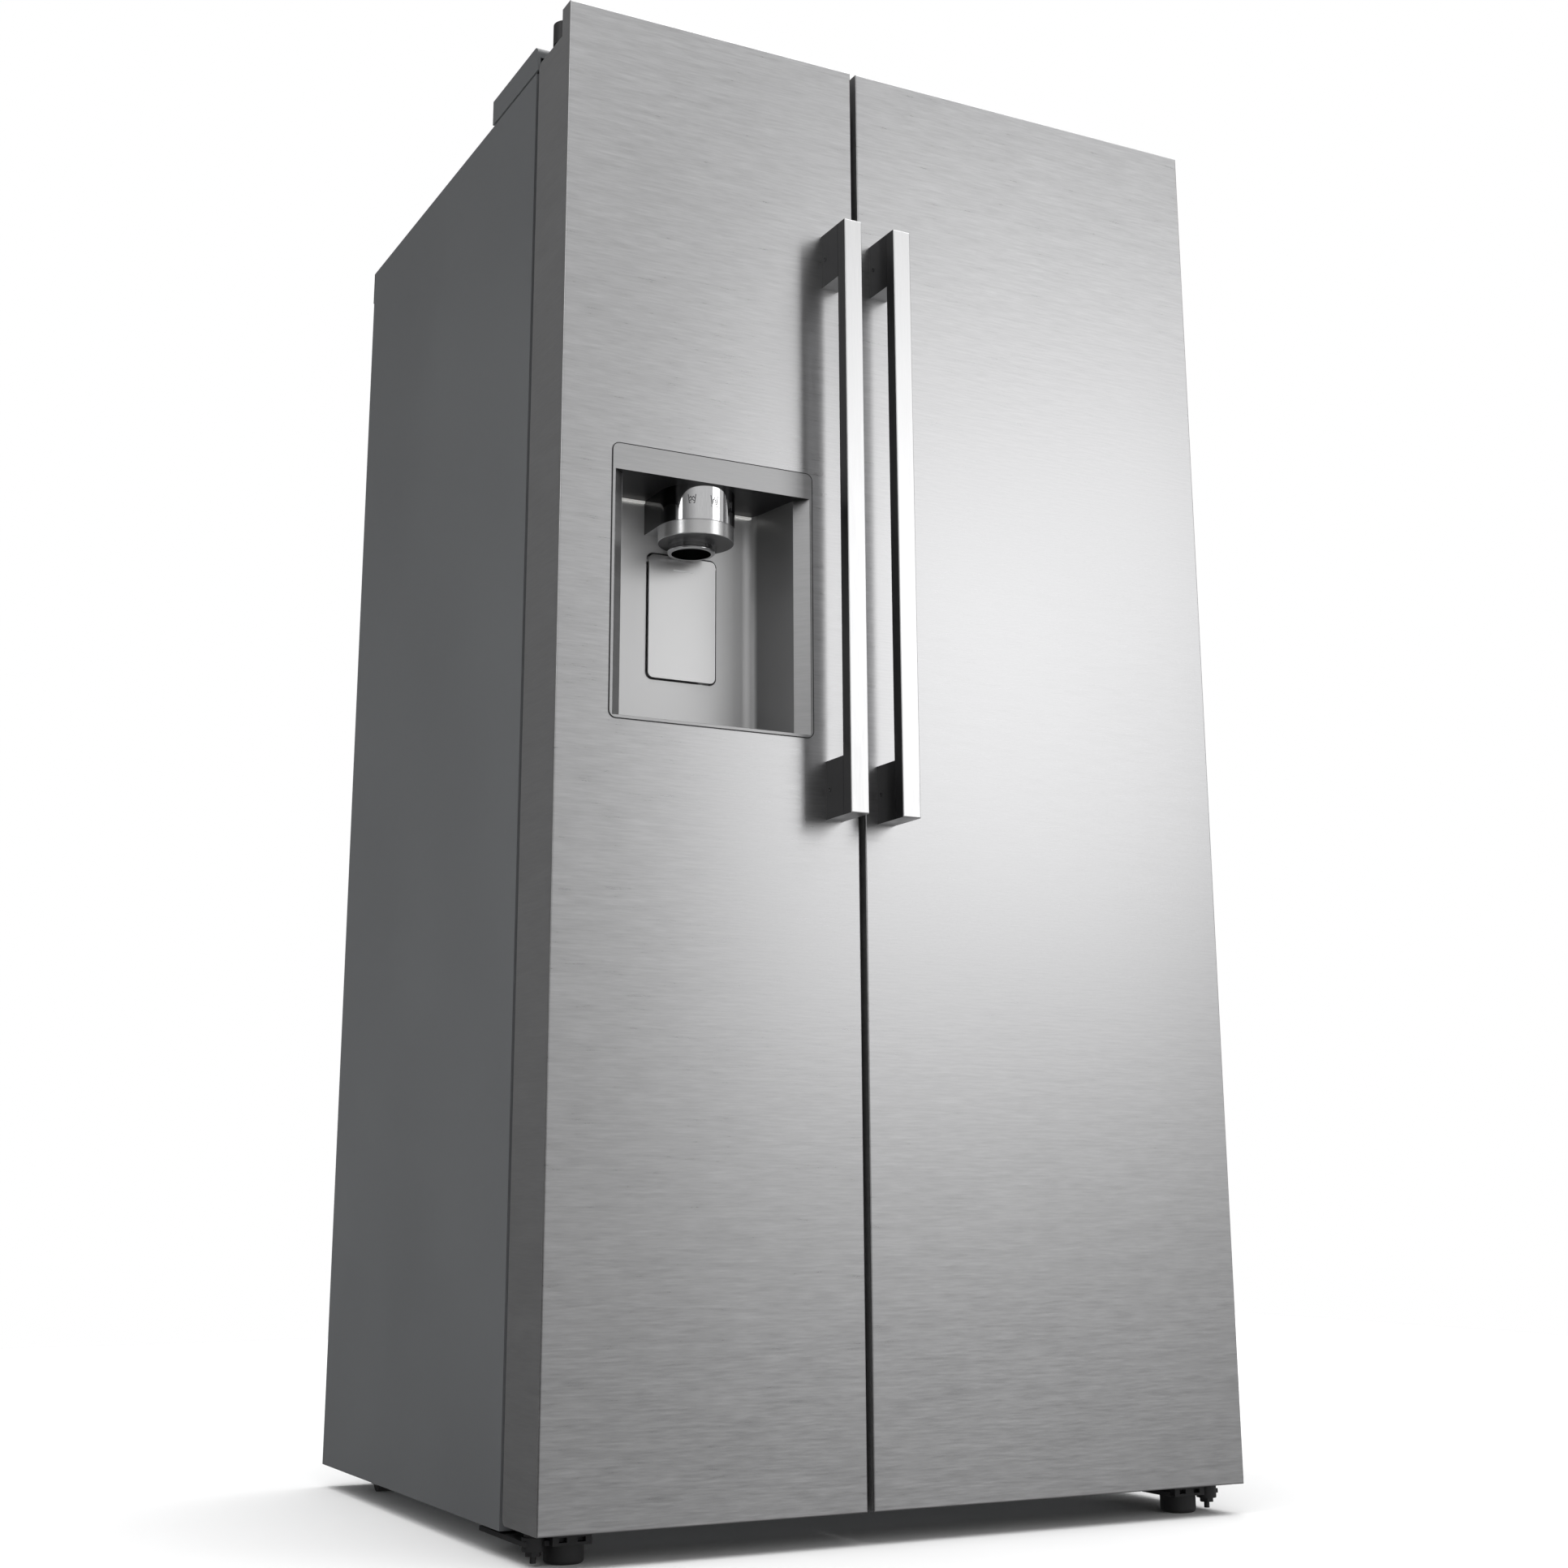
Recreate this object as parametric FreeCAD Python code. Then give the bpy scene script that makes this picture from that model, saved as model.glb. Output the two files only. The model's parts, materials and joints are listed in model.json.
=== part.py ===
import FreeCAD, Part
import math
import os

# A free-standing side by side refrigerator with an ice and water dispenser in its freezer door.
#
# Every piece is drawn from the lower left front corner of the doors: x runs to the right, y runs
# back from the door fronts and z runs up from the bottom of the doors. export() then moves it so
# that the origin is on the floor, at the centre of the footprint.

V = FreeCAD.Vector
X_AXIS = V(1, 0, 0)
Y_AXIS = V(0, 1, 0)
Z_AXIS = V(0, 0, 1)
MIRROR_PLANE = V(1, 0, 0)

# Overall sizes, in millimetres
WIDTH = 912.0
FLOOR_GAP = 35.0              # floor to the bottom of the doors
DOOR_HEIGHT = 1750.0
HANDLE_REACH = 60.0           # door front to handle front
CASE_TOP = 1706.0
CASE_BOTTOM = -7.0
CASE_BACK = 785.0
SPACER_DEPTH = 10.0           # strip that keeps the back off the wall
DEPTH = HANDLE_REACH + CASE_BACK + SPACER_DEPTH

# Doors
DOOR_THICK = 102.0
FREEZER_DOOR = (0.0, 388.6)
FRIDGE_DOOR = (396.8, WIDTH)
SKIN = 2.0
FRAME_WALL = 4.0
LIP_DEPTH = 26.0              # the front of the door rises above the rest as a lip
STEP_HEIGHT = 1714.0          # top of the door behind the lip
LINER_FRONT = 99.0
LINER_MARGIN = 12.0
GASKET_INSET = 14.0
GASKET_WIDTH = 16.0
GASKET_BACK = 110.2
CASE_FRONT = 110.5
RIDGE = 24.0                  # thickness of the ridge around the inside of a door
RIDGE_BACK = 150.0
FREEZER_PLUG_X = (67.0, 350.0)
FRIDGE_PLUG_X = (435.0, 845.0)
PLUG_Z = (80.0, 1636.0)
LINER = 2.0

# Hinges
HINGE_X = 16.5                # axis from the side of the cabinet
HINGE_Y = 53.0                # axis behind the door fronts
PIN_R = 5.0
PIN_BORE_R = 5.05
BUSH_R = 11.0
BUSH_LENGTH = 30.0
KNUCKLE_R = 16.5
KNUCKLE = (1717.0, 1745.0)
HINGE_PLATE = 5.0
HINGE_ARM_X = (8.5, 33.0)
COVER_X = (0.0, 110.0)        # hinge cover
COVER_Y = (108.0, 270.0)
COVER_LIFT = 4.0
COVER_HEIGHT = 38.0
COVER_WALL = 2.5
COVER_ROUND = 10.0

# Levelling feet
LEG = (54.0, 61.0)            # x and y of the left foot
LEG_STEM_R = 5.0
LEG_PAD_R = 21.5
LEG_PAD_TOP = -15.5
LEG_PAD_ROUND = 4.0

# Cabinet
SHEET = 1.5
RETURN = 16.0
WALL = 55.0
CAVITY_Z = (65.0, 1651.0)
CAVITY_BACK = 725.0
FREEZER_X = (WALL, 370.0)
FRIDGE_X = (415.0, WIDTH - WALL)
MACHINE_FRONT = 560.0
MACHINE_TOP = 227.0
STEP_FRONT = 525.0            # the liners step up here, over the machine compartment
STEP_TOP = 265.0
RIB = 8.0
RIB_HEIGHT = 6.0

# Shelves and drawers
SHELF_FRONT = 262.0
SHELF_THICK = 5.0
FREEZER_SHELVES = (275.0, 620.0, 960.0, 1300.0)
FRIDGE_SHELVES = {"fridge_shelf_upper": 1250.0, "fridge_shelf_middle": 870.0}
CRISPER_COVER = 482.0
FREEZER_BACK = 618.0          # evaporator cover
DUCT_FRONT = 702.0
DRAWER_FRONT = 292.0
DRAWER_WALL = 3.0

# Door bins
BIN_WALL = 3.0
BIN_HEIGHT = 110.0
FREEZER_BINS = (330.0, 600.0)
FRIDGE_BINS = (560.0, 850.0, 1140.0, 1430.0)
FREEZER_BIN_BACK = 215.0
FRIDGE_BIN_BACK = 235.0

# Handles
BAR_WIDTH = 24.0
BAR_DEPTH = 18.0
BAR_Z = (768.0, 1511.0)
POST_HEIGHT = 70.0
FREEZER_BAR_X = 344.0
FRIDGE_BAR_X = 413.5

# Dispenser
DISPENSER_X = (65.0, 327.0)
DISPENSER_Z = (865.0, 1192.5)
DISPENSER_CORNER = 8.0
OUTLINE = 3.0
FLARE_DEPTH = 14.0
FLARE = 15.0
RECESS_FLOOR = 872.0
CEILING = 1161.0
RECESS_BACK = 98.5
RECESS_SLOPE = 13.0
RECESS_CORNER = 16.0
RECESS_WALL = 2.5
POCKET_X = (152.5, 246.5)
POCKET_Z = (939.5, 1098.0)
POCKET_BACK = 120.0
POCKET_CORNER = 9.0
BULGE_X = (80.0, 312.0)
BULGE_Z = (845.0, 1225.0)
BULGE_BACK = 138.0
NOZZLE = (196.0, 51.0)
NOZZLE_R = 47.0
RING_R = 46.0
RING_Z = (1100.0, 1118.0)
SPOUT = (196.0, 64.0)
SPOUT_R = 26.0
SPOUT_BORE_R = 24.0
SPOUT_LIP = 3.0
SPOUT_Z = (1091.0, 1200.0)
SEAT_Z = (1157.0, 1160.0)
FLAP_PIVOT = (83.5, 1154.5)
PADDLE_X = (154.5, 243.5)
PADDLE_Z = (941.5, 1095.0)
PADDLE_PIVOT = (101.0, 1088.0)
ICE_MAKER_Z = (1238.0, 1600.0)
CHUTE_R = 18.0
CHUTE_HALF = 14.0
CHUTE_TOP = 1275.0

# Rear rollers
ROLLER_X = 60.0               # from the side of the cabinet
ROLLER_Y = 700.0
ROLLER_R = 13.0
ROLLER_HALF = 11.0
EAR_INSIDE = 12.0
EAR_OUTSIDE = 15.0
EAR_HALF = 10.0

# Fans
SHAFT_R = 3.0
BORE_R = 3.05
COLD_FAN = (212.0, 1180.0)    # x and z of the evaporator fan
COLD_FAN_R = 42.0
COLD_FAN_WIDTH = 14.0
COLD_FAN_FRONT = 643.0
HOT_FAN = (672.0, 118.0)      # y and z of the condenser fan
HOT_FAN_R = 72.0
HOT_FAN_WIDTH = 16.0
HOT_FAN_LEFT = 404.0
HUB_R = 14.0
BLADE_HALF_CHORD = 11.0
BLADE_THICK = 1.6
BLADE_PITCH = 28.0
MOTOR_R = 18.0
MOTOR_LENGTH = 34.0
SHAFT_LENGTH = 22.0
COLD_MOTOR_Y = 662.0
COLD_STRUT_Y = (690.0, 696.0)
HOT_MOTOR_X = 424.0
GRILLE_R = (46.0, 38.0)       # outer and inner radius of the widest ring
GRILLE_STEP = 13.0

# Machine compartment
COMPRESSOR = (705.0, 672.0)
COMPRESSOR_R = 78.0
COMPRESSOR_Z = (20.0, 175.0)
COMPRESSOR_DOME = 32.0
TRAY_HALF = (95.0, 60.0)
TRAY_Z = (16.0, 22.0)
COMPRESSOR_FOOT = (82.0, 47.0)
COMPRESSOR_FOOT_R = 9.0
PIPE_R = 4.0
FIN = 1.2
GLAND = (110.0, 60.0)         # x and z of the cord's way out
GLAND_R = 9.0
CORD_BORE_R = 4.2
VALVE = (832.0, 180.0)        # x and z of the water inlet
VALVE_X = (814.0, 850.0)
INLET_R = 3.175
INLET_LENGTH = 16.0
VENT = (44.0, 6.0)            # length and height of a slot in the rear cover
VENT_START = (190.0, 40.0)
VENT_PITCH = (58.0, 17.0)
VENT_COUNT = 9


def block(xs, ys, zs):
    """A box between pairs of x, y and z."""
    return Part.makeBox(xs[1] - xs[0], ys[1] - ys[0], zs[1] - zs[0], V(xs[0], ys[0], zs[0]))


def rod_z(x, y, radius, zs):
    """A round bar along z."""
    return Part.makeCylinder(radius, zs[1] - zs[0], V(x, y, zs[0]), Z_AXIS)


def rod_y(x, z, radius, ys):
    """A round bar along y."""
    return Part.makeCylinder(radius, ys[1] - ys[0], V(x, ys[0], z), Y_AXIS)


def rod_x(y, z, radius, xs):
    """A round bar along x."""
    return Part.makeCylinder(radius, xs[1] - xs[0], V(xs[0], y, z), X_AXIS)


def joined(first, *others):
    """One solid from several that touch or overlap."""
    shape = first.fuse(list(others))
    return shape.removeSplitter()


def round_edges(shape, radius, wanted):
    """Round the straight edges whose centre and direction satisfy wanted."""
    chosen = []
    for edge in shape.Edges:
        if edge.Curve.TypeId != "Part::GeomLine":
            continue
        if wanted(edge.CenterOfMass, edge.tangentAt(edge.FirstParameter)):
            chosen.append(edge)
    return shape.makeFillet(radius, chosen)


def along(axis):
    """A test for edges parallel to an axis."""
    return lambda centre, direction: abs(abs(direction.dot(axis)) - 1) < 1e-6


def grown(pair, by):
    """A pair of limits moved apart."""
    return (pair[0] - by, pair[1] + by)


def mirrored(shape):
    """The same piece on the other side of the cabinet."""
    return shape.mirror(V(WIDTH / 2, 0, 0), MIRROR_PLANE)


def prism(points, zs):
    """An upright prism over a list of x, y corners."""
    corners = [V(x, y, zs[0]) for x, y in points]
    wire = Part.makePolygon(corners + corners[:1])
    return Part.Face(wire).extrude(V(0, 0, zs[1] - zs[0]))


# ---------------------------------------------------------------- cabinet

def side_panel():
    """Left side of the steel case, folded round at the front."""
    wall = block((0, SHEET), (CASE_FRONT, CASE_BACK), (CASE_BOTTOM, CASE_TOP))
    fold = block((0, RETURN), (CASE_FRONT, CASE_FRONT + SHEET), (CASE_BOTTOM, CASE_TOP))
    return joined(wall, fold)


def top_panel():
    """Top of the case, folded down at the front."""
    xs = (SHEET, WIDTH - SHEET)
    wall = block(xs, (CASE_FRONT + SHEET, CASE_BACK), (CASE_TOP - SHEET, CASE_TOP))
    fold = block((RETURN, WIDTH - RETURN), (CASE_FRONT, CASE_FRONT + SHEET), (CASE_TOP - RETURN, CASE_TOP))
    return joined(wall, fold)


def back_panel():
    """Flat sheet behind the foam, above the machine compartment."""
    return block((SHEET, WIDTH - SHEET), (CASE_BACK - SHEET, CASE_BACK), (MACHINE_TOP, CASE_TOP - SHEET))


def roller_bracket(x):
    """Two ears and an axle that hold one rear roller."""
    ears_y = grown((ROLLER_Y, ROLLER_Y), EAR_HALF)
    ears_z = (-2 * ROLLER_R, CASE_BOTTOM)
    left = block((x - EAR_OUTSIDE, x - EAR_INSIDE), ears_y, ears_z)
    right = block((x + EAR_INSIDE, x + EAR_OUTSIDE), ears_y, ears_z)
    axle = rod_x(ROLLER_Y, ROLLER_R - FLOOR_GAP, SHAFT_R, grown((x, x), EAR_OUTSIDE))
    return [left, right, axle]


def base_plate():
    """Floor of the case, folded up at the front, with the brackets of the rear rollers."""
    plate = block((SHEET, WIDTH - SHEET), (CASE_FRONT + SHEET, CASE_BACK), (CASE_BOTTOM, CASE_BOTTOM + SHEET))
    fold = block((RETURN, WIDTH - RETURN), (CASE_FRONT, CASE_FRONT + SHEET),
                 (CASE_BOTTOM, CASE_BOTTOM + RETURN))
    return joined(plate, fold, *roller_bracket(ROLLER_X), *roller_bracket(WIDTH - ROLLER_X))


def cavity(xs, shrink):
    """Inside of a compartment, which steps up at the back over the machine compartment."""
    inner_xs = grown(xs, -shrink)
    top = CAVITY_Z[1] - shrink
    front = CASE_FRONT - 1
    low = block(inner_xs, (front, STEP_FRONT - shrink), (CAVITY_Z[0] + shrink, top))
    high = block(inner_xs, (front, CAVITY_BACK - shrink), (STEP_TOP + shrink, top))
    return joined(low, high)


def cabinet_foam():
    """Insulation between the case and the two liners, with the divider between them."""
    foam = block((SHEET, WIDTH - SHEET), (CASE_FRONT + SHEET, CASE_BACK - SHEET),
                 (CASE_BOTTOM + SHEET, CASE_TOP - SHEET))
    machine = block((0, WIDTH), (MACHINE_FRONT, CASE_BACK), (CASE_BOTTOM, MACHINE_TOP))
    return foam.cut([cavity(FREEZER_X, 0), cavity(FRIDGE_X, 0), machine])


def liner(xs, flange_xs, rib_heights, rib_back):
    """Thin plastic lining of a compartment, with a front flange and ribs that carry the shelves."""
    shell = cavity(xs, 0).cut(cavity(xs, LINER))
    flange = block(flange_xs, (CASE_FRONT, CASE_FRONT + SHEET),
                   (CASE_BOTTOM + RETURN, CASE_TOP - RETURN))
    flange = flange.cut(cavity(xs, LINER))
    shell = shell.common(block(xs, (CASE_FRONT, CASE_BACK), grown(CAVITY_Z, 1)))
    ribs = []
    left, right = grown(xs, -LINER)
    for top in rib_heights:
        ribs.append(block((left, left + RIB), (SHELF_FRONT, rib_back), (top - RIB_HEIGHT, top)))
        ribs.append(block((right - RIB, right), (SHELF_FRONT, rib_back), (top - RIB_HEIGHT, top)))
    return joined(shell, flange, *ribs)


def freezer_liner():
    """Lining of the freezer compartment."""
    middle = (FREEZER_X[1] + FRIDGE_X[0]) / 2
    return liner(FREEZER_X, (RETURN, middle), FREEZER_SHELVES, FREEZER_BACK)


def fridge_liner():
    """Lining of the fridge compartment."""
    middle = (FREEZER_X[1] + FRIDGE_X[0]) / 2
    heights = list(FRIDGE_SHELVES.values()) + [CRISPER_COVER, STEP_TOP + 12]
    return liner(FRIDGE_X, (middle, WIDTH - RETURN), heights, DUCT_FRONT)


def hinge_cover():
    """Cap over the left upper hinge, flush with the side of the case."""
    def front_top(centre, direction):
        high = centre.z > CASE_TOP + COVER_HEIGHT / 2
        return along(X_AXIS)(centre, direction) and high and centre.y < sum(COVER_Y) / 2

    outside = block(COVER_X, COVER_Y, (CASE_TOP + COVER_LIFT, CASE_TOP + COVER_HEIGHT))
    inside = block(grown(COVER_X, -COVER_WALL), grown(COVER_Y, -COVER_WALL),
                   (CASE_TOP, CASE_TOP + COVER_HEIGHT - COVER_WALL))
    outside = round_edges(outside, COVER_ROUND, front_top)
    inside = round_edges(inside, COVER_ROUND - 2, front_top)
    doorway = block((4, 38), (100, 120), (CASE_TOP, CASE_TOP + 22))
    return outside.cut([inside, doorway])


def upper_hinge():
    """Left upper hinge: plate on the case, arm over the door, knuckle and pin."""
    riser_y = (118, 124)
    arm_z = (KNUCKLE[0], KNUCKLE[0] + HINGE_PLATE)
    plate = block((6, 96), (riser_y[0], 262), (CASE_TOP, CASE_TOP + COVER_LIFT))
    riser = block(HINGE_ARM_X, riser_y, (CASE_TOP, arm_z[1]))
    arm = block(HINGE_ARM_X, (HINGE_Y, riser_y[1]), arm_z)
    knuckle = rod_z(HINGE_X, HINGE_Y, KNUCKLE_R, KNUCKLE)
    pin = rod_z(HINGE_X, HINGE_Y, PIN_R, (STEP_HEIGHT - BUSH_LENGTH + 6, KNUCKLE[0]))
    return joined(plate, riser, arm, knuckle, pin)


def hexagon(x, y, across, zs):
    """A hexagonal bar along z."""
    radius = across / math.sqrt(3)
    points = []
    for step in range(6):
        angle = math.radians(60 * step)
        points.append((x + radius * math.cos(angle), y + radius * math.sin(angle)))
    return prism(points, zs)


def lower_hinge():
    """Left lower hinge: bracket under the case, boss, pin and the block that holds the levelling leg."""
    plate = block((4, 80), (46, 183), (-15, -10))
    pad = block((20, 80), (130, 183), (-10, CASE_BOTTOM))
    boss = rod_z(HINGE_X, HINGE_Y, 12, (-20, -6))
    washer = rod_z(HINGE_X, HINGE_Y, 10, (-6, -0.4))
    pin = rod_z(HINGE_X, HINGE_Y, PIN_R, (-6, BUSH_LENGTH - 5))
    nut = hexagon(HINGE_X, HINGE_Y, 15, (-25, -20))
    tip = rod_z(HINGE_X, HINGE_Y, 3.3, (-32, -25))
    leg_block = block((32, 76), (37, 90), (-15, -3))
    body = joined(plate, pad, boss, washer, pin, nut, tip, leg_block)
    slots = [block((x, x + 9), (36, 44), (-12, -7)) for x in (39, 60)]
    hole = rod_z(LEG[0], LEG[1], LEG_STEM_R, (-16, -2))
    return body.cut(slots + [hole])


def levelling_foot():
    """One adjustable front foot: a round pad on a threaded stem."""
    pad = rod_z(LEG[0], LEG[1], LEG_PAD_R, (-FLOOR_GAP, LEG_PAD_TOP))
    rim = [edge for edge in pad.Edges
           if abs(edge.CenterOfMass.z + FLOOR_GAP) < 0.1 and len(edge.Vertexes) == 1]
    pad = pad.makeFillet(LEG_PAD_ROUND, rim)
    stem = rod_z(LEG[0], LEG[1], LEG_STEM_R, (-20, -5))
    return joined(pad, stem)


def levelling_feet():
    """The two front feet."""
    foot = levelling_foot()
    return Part.makeCompound([foot, mirrored(foot)])


def roller(x):
    """One rear roller with its bore."""
    wheel = rod_x(ROLLER_Y, ROLLER_R - FLOOR_GAP, ROLLER_R, grown((x, x), ROLLER_HALF))
    return wheel.cut(rod_x(ROLLER_Y, ROLLER_R - FLOOR_GAP, BORE_R, grown((x, x), ROLLER_HALF + 1)))


def rear_rollers():
    """The two rear rollers."""
    return Part.makeCompound([roller(ROLLER_X), roller(WIDTH - ROLLER_X)])


def rear_spacer():
    """Strip across the top of the back."""
    return block((2, WIDTH - 2), (CASE_BACK, CASE_BACK + SPACER_DEPTH), (1661, 1709))


def machine_cover():
    """Vented cover of the machine compartment."""
    cover = block((SHEET, WIDTH - SHEET), (CASE_BACK - SHEET, CASE_BACK), (CASE_BOTTOM + SHEET, MACHINE_TOP))
    through = grown((CASE_BACK, CASE_BACK), 5)
    slots = []
    for column in range(VENT_COUNT):
        x = VENT_START[0] + column * VENT_PITCH[0]
        for row in range(VENT_COUNT):
            z = VENT_START[1] + row * VENT_PITCH[1]
            slots.append(block((x, x + VENT[0]), through, (z, z + VENT[1])))
    gland_hole = rod_y(*GLAND, GLAND_R, through)
    valve_hole = rod_y(*VALVE, 12, through)
    return cover.cut(slots + [gland_hole, valve_hole])


def compressor():
    """Domed pot on four feet with its two pipe stubs."""
    x, y = COMPRESSOR
    pot = rod_z(x, y, COMPRESSOR_R, COMPRESSOR_Z)
    pot = pot.makeFillet(COMPRESSOR_DOME, [edge for edge in pot.Edges if len(edge.Vertexes) == 1])
    tray = block(grown((x, x), TRAY_HALF[0]), grown((y, y), TRAY_HALF[1]), TRAY_Z)
    feet = []
    for side in (-1, 1):
        for end in (-1, 1):
            foot_x = x + side * COMPRESSOR_FOOT[0]
            foot_y = y + end * COMPRESSOR_FOOT[1]
            feet.append(rod_z(foot_x, foot_y, COMPRESSOR_FOOT_R, (CASE_BOTTOM + SHEET, TRAY_Z[0])))
    stubs = [rod_x(y - 25, 120, PIPE_R, (x - 110, x)), rod_x(y + 25, 135, PIPE_R, (x - 110, x))]
    return joined(pot, tray, *feet, *stubs)


def condenser():
    """Tube and fin block beside the condenser fan."""
    fins = [block((x, x + FIN), (595, 755), (36, 196)) for x in range(95, 376, 14)]
    tubes = []
    for y in (625, 675, 725):
        for z in (66, 116, 166):
            tubes.append(rod_x(y, z, PIPE_R, (90, 382)))
    return joined(fins[0], *fins[1:], *tubes)


def motor_pod(x, y, z, axis):
    """A fan motor with its shaft, pointing along an axis."""
    pod = Part.makeCylinder(MOTOR_R, MOTOR_LENGTH, V(x, y, z), axis)
    shaft = Part.makeCylinder(SHAFT_R, SHAFT_LENGTH, V(x, y, z) - axis * SHAFT_LENGTH, axis)
    return [pod, shaft]


def fan_motors():
    """The evaporator fan's motor on its strut, and the condenser fan's motor on its bracket."""
    x, z = COLD_FAN
    cold = motor_pod(x, COLD_MOTOR_Y, z, Y_AXIS)
    strut_z = grown((z, z), 6)
    strut = block(grown((x, x), 60), COLD_STRUT_Y, strut_z)
    arms = []
    for side in (-57, 57):
        arm_x = grown((x + side, x + side), 3)
        arms.append(block(arm_x, (FREEZER_BACK + 3, COLD_STRUT_Y[1]), strut_z))
    y, height = HOT_FAN
    hot = motor_pod(HOT_MOTOR_X, y, height, X_AXIS)
    bracket = block((440, 446), grown((y, y), 16), (CASE_BOTTOM + SHEET, height))
    return Part.makeCompound([joined(*cold, strut, *arms), joined(*hot, bracket)])


def fan(radius, blades, width):
    """A fan about z: a hub with a bore and flat blades set at an angle."""
    hub = rod_z(0, 0, HUB_R, (0, width))
    parts = []
    for number in range(blades):
        blade = block((HUB_R - 4, radius), grown((0, 0), BLADE_HALF_CHORD),
                      grown((width / 2, width / 2), BLADE_THICK / 2))
        blade.rotate(V(0, 0, width / 2), X_AXIS, BLADE_PITCH)
        blade.rotate(V(0, 0, 0), Z_AXIS, 360.0 * number / blades)
        parts.append(blade)
    return joined(hub, *parts).cut(rod_z(0, 0, BORE_R, (-1, width + 1)))


def evaporator_fan():
    """Fan that blows freezer air through the cover."""
    wheel = fan(COLD_FAN_R, 7, COLD_FAN_WIDTH)
    wheel.rotate(V(0, 0, 0), X_AXIS, -90)
    wheel.translate(V(COLD_FAN[0], COLD_FAN_FRONT, COLD_FAN[1]))
    return wheel


def condenser_fan():
    """Fan that draws room air through the condenser."""
    wheel = fan(HOT_FAN_R, 5, HOT_FAN_WIDTH)
    wheel.rotate(V(0, 0, 0), Y_AXIS, 90)
    wheel.translate(V(HOT_FAN_LEFT, HOT_FAN[0], HOT_FAN[1]))
    return wheel


def open_tray(xs, ys, zs, wall):
    """A box open at the top."""
    return block(xs, ys, zs).cut(block(grown(xs, -wall), grown(ys, -wall), (zs[0] + wall, zs[1] + 1)))


def drain_pan():
    """Tray under the condenser where melt water dries off."""
    return open_tray((60, 386), (575, 772), (CASE_BOTTOM + SHEET, 26), 2)


def water_valve():
    """Inlet valve with the quarter inch tube that the house supply joins."""
    x, z = VALVE
    collar_end = CASE_BACK - 6
    body = block(VALVE_X, (735, 772), (160, 205))
    coil = rod_z(x, 752, 13, (205, 222))
    collar = rod_y(x, z, 10, (770, collar_end))
    inlet = rod_y(x, z, INLET_R, (770, collar_end + INLET_LENGTH))
    bracket = block(VALVE_X, (735, 740), (CASE_BOTTOM + SHEET, 160))
    return joined(body, coil, collar, inlet, bracket)


def cord_gland():
    """Grommet where the supply cord would leave the cover."""
    collar = rod_y(*GLAND, GLAND_R, (CASE_BACK - 6, CASE_BACK + 7))
    flange = rod_y(*GLAND, GLAND_R + 4, (CASE_BACK, CASE_BACK + 3))
    return joined(collar, flange).cut(rod_y(*GLAND, CORD_BORE_R, (CASE_BACK - 8, CASE_BACK + 9)))


def evaporator():
    """Fin and tube block behind the freezer cover."""
    fins = [block((x, x + FIN), (650, 712), (430, 860)) for x in range(85, 346, 20)]
    tubes = []
    for y in (665, 697):
        for z in range(460, 861, 62):
            tubes.append(rod_x(y, z, PIPE_R, (78, 350)))
    return joined(fins[0], *fins[1:], *tubes)


def evaporator_cover():
    """Back wall of the freezer, with the fan opening and the return slots."""
    x, z = COLD_FAN
    cover = block((58, 367), (FREEZER_BACK, FREEZER_BACK + 3), (276, 1648))
    through = (FREEZER_BACK - 1, FREEZER_BACK + 4)
    rings = []
    for ring in range(3):
        outer, inner = (radius - ring * GRILLE_STEP for radius in GRILLE_R)
        rings.append(rod_y(x, z, outer, through).cut(rod_y(x, z, inner, through)))
    spokes = [block(grown((x, x), 50), grown(through, 1), grown((z, z), 3)),
              block(grown((x, x), 3), grown(through, 1), grown((z, z), 50))]
    grille = rings[0].fuse(rings[1:]).cut(spokes)
    slots = [block((left, left + 12), through, (330, 400)) for left in range(90, 330, 22)]
    return cover.cut([grille] + slots)


def fridge_air_duct():
    """Column behind the fridge shelves that lets cold air out at each level."""
    column = block((566, 706), (DUCT_FRONT, CAVITY_BACK - LINER), (500, 1600))
    column = round_edges(column, 8, lambda c, d: along(Z_AXIS)(c, d) and c.y < DUCT_FRONT + 1)
    ports = []
    for level in (640, 1030, 1420):
        for side in (585, 647):
            ports.append(block((side, side + 40), (DUCT_FRONT - 1, DUCT_FRONT + 9), (level, level + 14)))
    return column.cut(ports)


def freezer_shelves():
    """Glass shelves of the freezer."""
    inner = grown(FREEZER_X, -LINER - 1)
    shelves = [block(inner, (SHELF_FRONT, FREEZER_BACK - 4), (z, z + SHELF_THICK)) for z in FREEZER_SHELVES]
    return Part.makeCompound(shelves)


def fridge_shelf(top):
    """A full width glass shelf of the fridge."""
    return block(grown(FRIDGE_X, -LINER - 1), (SHELF_FRONT, DUCT_FRONT - 4), (top, top + SHELF_THICK))


def interior_lamps():
    """Lamp covers in the two ceilings."""
    ceiling = CAVITY_Z[1] - LINER
    freezer = block((170, 255), (300, 380), (ceiling - 9, ceiling))
    fridge = block((580, 690), (300, 380), (ceiling - 9, ceiling))
    return Part.makeCompound([round_edges(lamp, 3, along(Z_AXIS)) for lamp in (freezer, fridge)])


def water_filter():
    """Filter cartridge under its mount on the fridge ceiling."""
    cartridge = rod_y(800, 1600, 28, (300, 530))
    mount = block((775, 825), (380, 530), (1620, CAVITY_Z[1] - LINER))
    return joined(cartridge, mount)


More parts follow.
